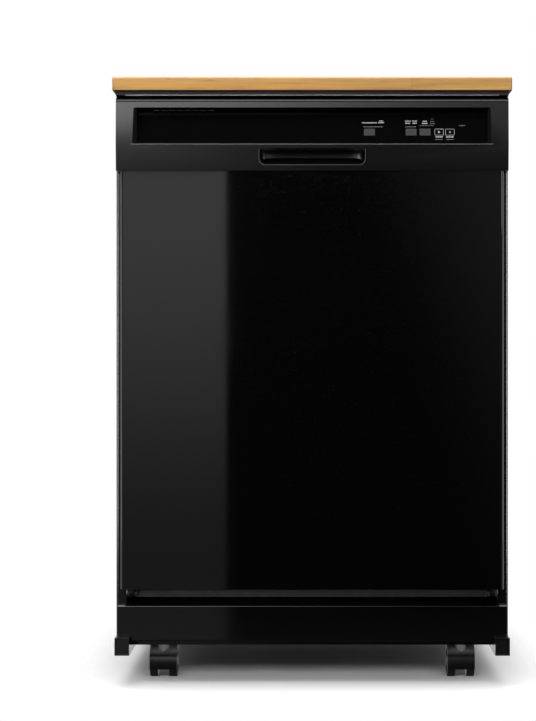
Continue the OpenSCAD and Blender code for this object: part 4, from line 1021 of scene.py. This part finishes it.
@dataclass
class Cabinet:
    """Side panels, back panel and hose well."""

    strap_screw: Screw = Screw(3.6 * MM, 1.8 * MM, 2 * MM, 12.3 * MM)
    strap_x: float = 263 * MM
    strap_y: Point = (-332.25 * MM, 0.0, 266 * MM)
    strap_z: float = 916.5 * MM
    back_screw: Screw = Screw(3.6 * MM, 1.8 * MM, 1.8 * MM, 8 * MM)
    back_x: float = 296.8 * MM
    back_z: Point = (110 * MM, 380 * MM, 650 * MM, 880 * MM)
    back_y: float = 314 * MM

    def build(self) -> None:
        """Dress the panels and make the screws."""
        screws = Shape()
        for side in (-1, 1):
            for y in self.strap_y:
                seat = (side * self.strap_x, y, self.strap_z)
                screws.screw(seat, Facing.DOWN, self.strap_screw)
            for z in self.back_z:
                seat = (side * self.back_x, self.back_y, z)
                screws.screw(seat, Facing.BACK, self.back_screw)
        screws.place("cross_head_screws", "cabinet", ZINC, 30.0, instead_of=["cabinet_screws"])
        dress_all(
            {
                "left_side_panel": SIDE_ENAMEL,
                "right_side_panel": SIDE_ENAMEL,
                "back_panel": FRAME_ENAMEL,
                "hose_well": DARK_PLASTIC,
                "hose_fittings": GREY_PLASTIC,
            }
        )


@dataclass
class Base:
    """Base frame, legs, access panel and springs."""

    spring_x: float = 290 * MM
    spring_z: float = 92.5 * MM
    spring_ends: Point = (-190 * MM, -40 * MM)
    hook_ends: Point = (-231.7 * MM, 10 * MM)
    coil: float = 6.7 * MM
    wire: float = 1.3 * MM
    turns: float = 44.0
    wire_sides: int = 10

    def build(self) -> None:
        """Dress the base and wind the springs."""
        springs = Shape()
        for side in (-1, 1):
            x, z = side * self.spring_x, self.spring_z
            start, end = ((x, y, z) for y in self.spring_ends)
            springs.coil(start, end, self.coil, self.wire, self.turns)
            for near, far, way in ((start, self.hook_ends[0], -1), (end, self.hook_ends[1], 1)):
                root = (x + self.coil, near[1] - way * 0.5 * self.wire, z)
                loop = (x, near[1] + way * self.coil, z)
                springs.rod(root, loop, self.wire, self.wire_sides)
                springs.rod(loop, (x, far, z), self.wire, self.wire_sides)
        springs.place("coil_springs", "cabinet", ZINC, 50.0, instead_of=["door_springs"])
        dress_all(
            {
                "base_frame": FRAME_ENAMEL,
                "access_panel": PANEL_ENAMEL,
                # The frame legs get the darker zinc: painted shade.
                "frame_legs": SHADED_ZINC,
                "wash_pump": DARK_PLASTIC,
                "drain_pump": DARK_PLASTIC,
                "inlet_valve": WHITE_PLASTIC,
            }
        )


@dataclass
class Caster:
    """One twin-wheel caster."""

    corner: str
    edge: float = 0.9 * MM

    def build(self) -> None:
        """Dress the hood and the wheels."""
        dress(f"{self.corner}_caster", HOOD_PLASTIC, self.edge)
        dress(f"{self.corner}_wheels", TREAD, self.edge)


@dataclass
class Door:
    """The drop-down door without its console."""

    screw_x: float = 281 * MM
    screw_y: float = -299.5 * MM
    screw_z: Point = (180 * MM, 300 * MM, 450 * MM, 600 * MM, 750 * MM, 870 * MM)
    screw: Screw = Screw(3.2 * MM, 1.8 * MM, 1.6 * MM, 6.8 * MM)

    def build(self) -> None:
        """Dress the door and make its screws."""
        screws = Shape()
        for side in (-1, 1):
            for z in self.screw_z:
                seat = (side * self.screw_x, self.screw_y, z)
                screws.screw(seat, Facing.BACK, self.screw)
        screws.place("door_cross_head_screws", "door", ZINC, 30.0, instead_of=["door_screws"])
        dress_all(
            {
                "door_panel": GLOSS_ENAMEL,
                "door_liner": LINING,
                "hinge_arms": FRAME_ENAMEL,
                "door_seal": RUBBER,
                "dispenser": LINING,
                "dispenser_lid": GREY_PLASTIC,
                "rinse_cap": BLUE_PLASTIC,
                "door_latch": WHITE_PLASTIC,
                "latch_bolt": WHITE_PLASTIC,
                "door_strike": ZINC,
                "control_board": BOARD,
            }
        )


@dataclass(frozen=True)
class Sign:
    """One printed sign, its place and size on the fascia in millimetres."""

    mark: Mark
    across: float
    up: float
    width: float
    height: float

    def spot(self, right: float, high: float) -> tuple[float, float]:
        """A point given in halves of the sign's size from its middle."""
        return self.across + right * self.width / 2, self.up + high * self.height / 2


BRIGHT_DASHES = (
    (88.2, 33.9, 23.0, 1.9), (106.2, 34.2, 8.8, 2.0), (106.6, 37.0, 7.0, 1.5),
    (147.3, 36.6, 9.0, 2.0), (147.3, 33.2, 9.0, 2.0), (157.6, 36.6, 8.0, 2.0),
    (157.6, 33.2, 7.0, 2.0), (173.3, 36.4, 6.6, 2.0), (173.3, 33.0, 9.0, 2.0),
    (195.0, 11.0, 11.0, 1.9), (211.8, 11.0, 12.4, 1.9),
)
DIM_DASHES = (
    (93.6, 27.4, 30.0, 1.5), (151.5, 27.4, 17.0, 1.5), (176.0, 29.4, 22.0, 1.1),
    (185.0, 36.0, 7.4, 1.6), (185.0, 32.4, 7.4, 1.6), (230.5, 29.4, 9.4, 1.7),
    (195.0, 6.9, 12.0, 1.4), (211.8, 6.9, 11.4, 1.4),
)
TENT = Sign(Mark.TENT, 184.6, 40.2, 4.4, 3.4)
START = (Sign(Mark.FRAME, 195.0, 18.6, 13.9, 10.5), Sign(Mark.PLAY, 195.0, 18.6, 4.2, 4.6))
CANCEL = (Sign(Mark.FRAME, 211.6, 18.6, 13.9, 10.5), Sign(Mark.CROSS, 211.6, 18.6, 3.4, 3.4))


@dataclass
class Console:
    """The door's moulded head with its fascia, buttons and printed signs."""

    edge: float = 0.6 * MM
    fine_edge: float = 0.3 * MM
    tilt: float = math.radians(13.5)
    foot: Point = (0.0, -340.0 * MM, 838.5 * MM)
    ink: float = 0.08 * MM
    cap_out: float = 0.6
    frame_bar: float = 0.62 * MM
    dash_least: float = 0.6
    dash_gap: float = 0.5
    dash_steps: Point = (2.2, 1.3, 2.8, 1.7, 2.4, 1.1, 1.9)
    scoop_x: float = 81.5 * MM
    scoop_y: Point = (-343.6 * MM, -317.5 * MM)
    scoop_z: Point = (805.75 * MM, 829.6 * MM)
    scoop_round: float = 12 * MM
    scoop_steps: int = 6
    scoop_wall: float = 0.5 * MM
    lip_y: float = -346.25 * MM
    lip_z: float = 837.1 * MM
    lip_x: float = 277 * MM
    lip: float = 0.55 * MM
    rim: float = 0.75 * MM
    rim_out: float = 0.35 * MM
    rim_x: float = 81.9 * MM
    rim_z: Point = (805.3 * MM, 830.6 * MM)
    rim_round: float = 9.5 * MM
    face_foot: Point = (-343.5 * MM, 797 * MM)
    face_lean: float = 0.07
    vent_start: float = -243.7 * MM
    vent_pitch: float = 12 * MM
    vent_count: int = 8
    fin: Point = (8.4 * MM, 0.9 * MM, 1.5 * MM)
    fin_round: float = 0.25 * MM
    fin_steps: int = 2
    fin_foot: Point = (-334.2 * MM, 892.3 * MM)

    def build(self) -> None:
        """Dress the moulding, line the pocket and print the signs."""
        dress("console", CONSOLE_PLASTIC, self.edge)
        dress_all(
            {
                "fascia": FASCIA_PLASTIC,
                "cycle_button": BUTTON_GREY,
                "first_option_button": BUTTON_GREY,
                "second_option_button": BUTTON_GREY,
                "start_button": BUTTON_BLACK,
                "cancel_button": BUTTON_BLACK,
            },
            self.fine_edge,
        )
        self._scoop()
        self._rims()
        self._vent_highlight_fins()
        bright, dim = (
            [Sign(Mark.DASHES, *row) for row in rows] for rows in (BRIGHT_DASHES, DIM_DASHES)
        )
        self._print("print_bright", "door", INK, bright)
        self._print("print_dim", "door", DIM_INK, [*dim, TENT])
        self._print("start_sign", "start_button", INK, START, self.cap_out)
        self._print("cancel_sign", "cancel_button", INK, CANCEL, self.cap_out)

    def _print(
        self, name: str, body: str, ink: Finish, signs: Iterable[Sign], out: float = 0.0
    ) -> None:
        """Print a group of signs as one piece, raised by the thickness of the ink.

        Args:
            name: the piece's name.
            body: the body that it rides on.
            ink: its finish.
            signs: the signs.
            out: how far their ground stands out of the fascia, in millimetres.
        """
        depth = (self.on_face(0, 0, 1) - self.on_face(0, 0, 0)).normalized() * self.ink
        shape = Shape()
        for sign in signs:
            points = [self.on_face(*sign.spot(*point), out) for point in sign.mark.value]
            if sign.mark is Mark.DASHES:
                self._dashes(shape, sign, depth)
            elif sign.mark is Mark.FRAME:
                shape.frame(points, self.frame_bar, depth)
            else:
                shape.outline(points, depth)
        shape.place(name, body, ink, smooth_below=20.0)

    def _dashes(self, shape: Shape, sign: Sign, depth: Vector) -> None:
        """Add a row of dashes of uneven length in place of words.

        Args:
            shape: the shape that grows.
            sign: the row's place and size.
            depth: the ink's thickness as a vector.
        """
        (start, low), (end, high) = sign.spot(-1, -1), sign.spot(1, 1)
        step = int(sign.across + sign.up)
        while end - start > self.dash_least:
            stop = min(end, start + self.dash_steps[step % len(self.dash_steps)])
            corners = [(start, low), (stop, low), (stop, high), (start, high)]
            shape.outline([self.on_face(*corner, 0.0) for corner in corners], depth)
            start, step = stop + self.dash_gap, step + 1

    def _scoop(self) -> None:
        """Line the handle pocket with a bowl whose inner corners are round."""
        (front, back_y), (foot, head) = self.scoop_y, self.scoop_z
        shape = Shape().box((-self.scoop_x, front, foot), (self.scoop_x, back_y, head))
        mesh = shape.mesh
        round_ones = []
        for edge in mesh.edges:
            middle = (edge.verts[0].co + edge.verts[1].co) / 2
            back, low = middle.y > back_y - MM, middle.z < foot + MM
            side = abs(middle.x) > self.scoop_x - MM
            if (back and low) or (back and side) or (low and side):
                round_ones.append(edge)
        shape.round(round_ones, self.scoop_round, self.scoop_steps)
        mouth = [f for f in mesh.faces if f.calc_center_median().y < front + 0.01 * MM]
        bmesh.ops.delete(mesh, geom=mouth, context="FACES_ONLY")
        bmesh.ops.recalc_face_normals(mesh, faces=mesh.faces)
        bmesh.ops.reverse_faces(mesh, faces=mesh.faces)
        bmesh.ops.solidify(mesh, geom=list(mesh.faces), thickness=self.scoop_wall)
        shape.place("pocket_scoop", "door", SCOOP_PLASTIC, smooth_below=40.0)

    def _rims(self) -> None:
        """Rounded lip along the recess's lower edge and a rim round the pocket's mouth, light grey
        as a painted highlight.
        """
        start, end = ((side * self.lip_x, self.lip_y, self.lip_z) for side in (-1, 1))
        Shape().rod(start, end, self.lip).place("recess_lip", "door", HIGHLIGHT_PLASTIC)
        outer, inner = self._mouth(0.0), self._mouth(self.rim)
        rim = Shape().outline(outer + inner[::-1], (0.0, -self.rim_out, 0.0))
        rim.place("pocket_rim", "door", HIGHLIGHT_PLASTIC, smooth_below=40.0)

    def _mouth(self, inset: float) -> list[Point]:
        """The sides and foot of the pocket's mouth, drawn on the console's leaning face.

        Args:
            inset: how far inside the mouth's edge the line runs.

        Returns:
            The line's points.
        """
        radius, low = self.rim_round - inset, self.rim_z[0] + self.rim_round
        middle = self.rim_x - self.rim_round
        points = [(-self.rim_x + inset, self.rim_z[1])]
        for side, angles in ((-1, range(180, 271, 15)), (1, range(270, 361, 15))):
            for turn in map(math.radians, angles):
                x = side * middle + radius * math.cos(turn)
                points.append((x, low + radius * math.sin(turn)))
        points.append((self.rim_x - inset, self.rim_z[1]))
        foot_y, foot_z = self.face_foot
        return [(x, foot_y - (z - foot_z) * self.face_lean, z) for x, z in points]

    def _vent_highlight_fins(self) -> None:
        """Small light grey fins at the back edge of the vent slots: painted highlights on the
        slots' edges.
        """
        shape = Shape()
        for number in range(self.vent_count):
            low = (self.vent_start + number * self.vent_pitch, *self.fin_foot)
            shape.box(low, [a + b for a, b in zip(low, self.fin)], self.fin_round, self.fin_steps)
        shape.place("vent_highlight_fins", "door", GREY_PLASTIC)

    def on_face(self, across: float, up: float, out: float) -> Vector:
        """A point given beside the fascia, in millimetres."""
        c, s = math.cos(self.tilt), math.sin(self.tilt)
        return Vector(self.foot) + Vector((across, up * s - out * c, up * c + out * s)) * MM


@dataclass
class Tub:
    """The tub and what stands in it."""

    def build(self) -> None:
        """Dress the tub."""
        dress_all(
            {
                "tub": LINING,
                "door_gasket": RUBBER,
                "sump": DARK_PLASTIC,
                "filter_plate": GREY_PLASTIC,
                "filter_cup": GREY_PLASTIC,
                "heating_element": SHEATH,
                "water_feed_tube": GREY_PLASTIC,
                "float_cap": GREY_PLASTIC,
                "lower_spray_arm": GREY_PLASTIC,
                "upper_spray_arm": GREY_PLASTIC,
                "upper_arm_feed": GREY_PLASTIC,
                "slide_guides": GREY_PLASTIC,
                "rack_slides": ZINC,
            }
        )


@dataclass
class Racks:
    """The two wire racks and the basket."""

    def build(self) -> None:
        """Dress the racks, whose wires are round and need no rounded edges."""
        dress_all({"lower_rack": RACK_COAT, "upper_rack": RACK_COAT}, edge=0.0)
        dress_all(
            {
                "lower_rack_wheels": GREY_PLASTIC,
                "upper_rack_rollers": GREY_PLASTIC,
                "silverware_basket": GREY_PLASTIC,
            }
        )


# ---------- studio ----------


@dataclass(frozen=True)
class SoftLamp:
    """A soft rectangular lamp aimed at a point."""

    name: str
    at: Point
    to: Point
    size: Point
    power: float

    def build(self) -> bpy.types.Object:
        """Hang the lamp and hand it back."""
        data = bpy.data.lights.new(self.name, "AREA")
        data.shape, data.size, data.size_y = "RECTANGLE", self.size[0], self.size[1]
        data.energy = self.power
        lamp = bpy.data.objects.new(self.name, data)
        lamp.location = self.at
        way = Vector(self.at) - Vector(self.to)
        lamp.rotation_euler = way.to_track_quat("Z", "Y").to_euler()
        lamp.visible_camera = False
        bpy.context.scene.collection.objects.link(lamp)
        return lamp


FREE_LAMPS = (
    SoftLamp("top_lamp", (0.0, -0.3, 4.5), (0.0, 0.0, 0.5), (4.0, 3.0), 70.0),
    SoftLamp("front_top_lamp", (-0.4, -2.6, 3.6), (0.0, -0.3, 0.5), (2.6, 1.4), 60.0),
)
SIDE_LAMPS = (
    SoftLamp("left_key", (-2.6, -2.4, 2.3), (0.0, -0.2, 0.5), (2.0, 1.6), 56.0),
    SoftLamp("right_key", (2.5, -2.7, 1.7), (0.0, -0.2, 0.5), (1.1, 1.6), 24.0),
    SoftLamp("back_lamp", (0.8, 3.2, 3.0), (0.0, 0.0, 0.5), (2.0, 2.0), 40.0),
)
FLOOR_LAMPS = (SoftLamp("floor_lamp", (0.0, -3.2, 1.25), (0.0, -0.2, 0.0), (2.6, 0.6), 60.0),)
HEM_LAMPS = (
    SoftLamp("left_hem_lamp", (-2.8, -2.66, 0.5), (-0.3, -0.3, 0.5), (0.8, 1.2), 85.0),
    SoftLamp("right_hem_lamp", (2.8, -1.6, 0.5), (0.3, -0.3, 0.5), (0.8, 1.2), 60.0),
)


def fade(axis: str, span: Point, first: Point, second: Point) -> Callable[[Graph], Signal]:
    """A glow that goes from one colour to another along an axis.

    Args:
        axis: the axis.
        span: where the first colour ends and the second begins.
        first: colour at the start.
        second: colour at the end.

    Returns:
        The function that builds it.
    """
    return lambda graph: graph.blend(graph.position(axis).span(*span), first, second)


@dataclass
class Studio:
    """Floor, reflected cards, lamps and camera."""

    eye: Point = (0.0, -3.34925, 0.5058)
    lens: float = 97.92
    sensor: float = 36.0
    shift: float = -0.0613
    reach: float = 60.0
    card_y: float = -3.45
    box_edge: float = -0.268
    slant: float = 0.306
    footprint: Point = (0.306, 0.35)
    floor_half: float = 3.0
    floor_fade: Point = (0.1, 0.12)

    def build(self) -> None:
        """Set the stage."""
        self._camera()
        self._world()
        floor = self._floor()
        self._cards()
        self._lamps(floor)
        bpy.context.scene.view_settings.view_transform = "Standard"

    def _camera(self) -> None:
        """Level camera at the photograph's distance and height."""
        data = bpy.data.cameras.new("camera")
        data.lens, data.sensor_width = self.lens, self.sensor
        data.shift_x = self.shift
        data.clip_end = self.reach
        camera = bpy.data.objects.new("camera", data)
        camera.location = self.eye
        camera.rotation_euler = (math.radians(90), 0.0, 0.0)
        bpy.context.scene.collection.objects.link(camera)
        bpy.context.scene.camera = camera

    def _world(self) -> None:
        """White behind the object, soft grey as a light, dark where the front reflects it."""
        world = bpy.data.worlds.new("studio")
        bpy.context.scene.world = world
        graph = Graph(world)
        clear, camera, mirror = (
            graph.node("ShaderNodeLightPath", output=f"Is {kind} Ray")
            for kind in ("Transmission", "Camera", "Glossy")
        )
        way = graph.node("ShaderNodeTexCoord", output="Generated")
        back = graph.part(way, "Y").span(-0.85, -0.45)
        above = graph.part(way, "Z").span(0.0, 0.7)
        below = graph.part(way, "Z").span(-0.5, -0.1, 0.06, 1.0)
        front = graph.blend(back * below, grey(0.004), grey(0.8))
        lit = graph.blend(mirror, graph.blend(above, grey(0.1), grey(0.8)), front)
        seen = graph.blend(camera + clear, lit, grey(1.0))
        sky = graph.node("ShaderNodeBackground", inputs={"Color": seen, "Strength": 1.0})
        graph.node_out(sky, "ShaderNodeOutputWorld")

    def _plane(self, name: str, low: Point, high: Point) -> tuple[bpy.types.Object, Graph]:
        """Add a flat stage piece.

        Args:
            name: its name.
            low: its lowest corner.
            high: its highest corner.

        Returns:
            The piece and the nodes of its material.
        """
        shape = bmesh.new()
        middle, size = (Vector(low) + Vector(high)) / 2, Vector(high) - Vector(low)
        bmesh.ops.create_grid(shape, x_segments=1, y_segments=1, size=0.5)
        if size.z:
            turn = Matrix.Rotation(math.radians(90), 3, "X" if size.x else "Y")
            bmesh.ops.rotate(shape, matrix=turn, verts=shape.verts)
        bmesh.ops.scale(shape, vec=[c or 1.0 for c in size], verts=shape.verts)
        bmesh.ops.translate(shape, vec=middle, verts=shape.verts)
        data = bpy.data.meshes.new(name)
        shape.to_mesh(data)
        shape.free()
        plane = bpy.data.objects.new(name, data)
        bpy.context.scene.collection.objects.link(plane)
        material = bpy.data.materials.new(name)
        data.materials.append(material)
        return plane, Graph(material)

    def _floor(self) -> bpy.types.Object:
        """White floor that keeps the shadow and fades into the background."""
        half = self.floor_half
        floor, graph = self._plane("floor", (-half, -half, 0.0), (half, half, 0.0))
        beside = graph.position("X").absolute() - self.footprint[0]
        before = graph.position("Y").absolute() - self.footprint[1]
        far = beside.span(0.0, self.floor_fade[0]) + before.span(0.0, self.floor_fade[1])
        paint = graph.node("ShaderNodeBsdfDiffuse", inputs={"Color": grey(0.95)})
        clear = graph.node("ShaderNodeBsdfTransparent")
        graph.node_out(graph.node("ShaderNodeMixShader", inputs={0: far, 1: paint, 2: clear}))
        floor.visible_glossy = False
        return floor

    def _card(self, name: str, low: Point, high: Point, glow: Callable[[Graph], Signal]) -> None:
        """Add a glowing card that only reflections see.

        Args:
            name: its name.
            low: its lowest corner.
            high: its highest corner.
            glow: builds the colour of its light.
        """
        card, graph = self._plane(name, low, high)
        lamp = graph.node("ShaderNodeEmission", inputs={"Color": glow(graph), "Strength": 1.0})
        graph.node_out(lamp)
        card.visible_camera = card.visible_diffuse = card.visible_shadow = False

    def _cards(self) -> None:
        """Cards for the door, the console's face and fine lines along rounded edges."""
        y = self.card_y
        self._card(
            "left_softbox", (-2.4, y, -0.9), (self.box_edge, y, 1.1),
            fade("Z", (-0.147, 1.052), (0.2, 0.2, 0.205, 1), (0.94, 0.94, 0.955, 1)),
        )
        self._card("right_fill_card", (0.0, y, -0.9), (2.4, y, 1.2), self._slanted_fill)
        self._card(
            "upper_strip", (-2.4, y, 1.22), (2.4, y, 2.1),
            fade("X", (-1.1, 0.6), (13.0, 13.0, 13.1, 1), (1.25, 1.25, 1.27, 1)),
        )
        self._card(
            "overhead_card", (-1.4, -2.2, 3.3), (1.4, -0.2, 3.3),
            fade("X", (-1.2, 1.2), grey(11.0), grey(7.0)),
        )
        for title, x, low, high in (("left", -2.8, 2.5, 1.8), ("right", 2.8, 2.0, 1.2)):
            glow = fade("Z", (0.7, 1.0), grey(low), grey(high))
            self._card(f"{title}_edge_card", (x, -0.9, 0.0), (x, 0.1, 1.0), glow)

    def _slanted_fill(self, graph: Graph) -> Signal:
        """Weak glow that starts at a slanted line."""
        across = (graph.position("X") + graph.position("Z") * self.slant).span(0.40, 1.0)
        glow = graph.blend(graph.position("Z").span(0.0, 1.1), grey(0.10), (0.2, 0.2, 0.205, 1))
        return graph.blend(across, grey(0.004), glow)

    def _lamps(self, floor: bpy.types.Object) -> None:
        """Hang the lamps out of the door's mirror and say what each one may light.

        Args:
            floor: the floor, which the side lamps leave alone.
        """
        for lamp in FREE_LAMPS:
            lamp.build()
        panels = [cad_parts[name] for name in ("left_side_panel", "right_side_panel")]
        for title, state, targets, lamps in (
            ("spared_floor", "EXCLUDE", [floor], SIDE_LAMPS),
            ("lit_floor", "INCLUDE", [floor], FLOOR_LAMPS),
            ("lit_hems", "INCLUDE", panels, HEM_LAMPS),
        ):
            group = bpy.data.collections.new(title)
            for number, target in enumerate(targets):
                group.objects.link(target)
                group.collection_objects[number].light_linking.link_state = state
            for lamp in lamps:
                lamp.build().light_linking.receiver_collection = group


def main() -> None:
    """Build every sub-assembly and report its pieces."""
    logging.basicConfig(level=logging.INFO, format="%(message)s")
    Studio().build()
    corners = ("front_left", "front_right", "rear_left", "rear_right")
    parts: list[Part] = [Worktop(), Cabinet(), Base(), Door(), Console(), Tub(), Racks()]
    parts += [Caster(corner) for corner in corners]
    for part in parts:
        log.info("building %s", type(part).__name__)
        part.build()


if __name__ == "__main__":
    main()
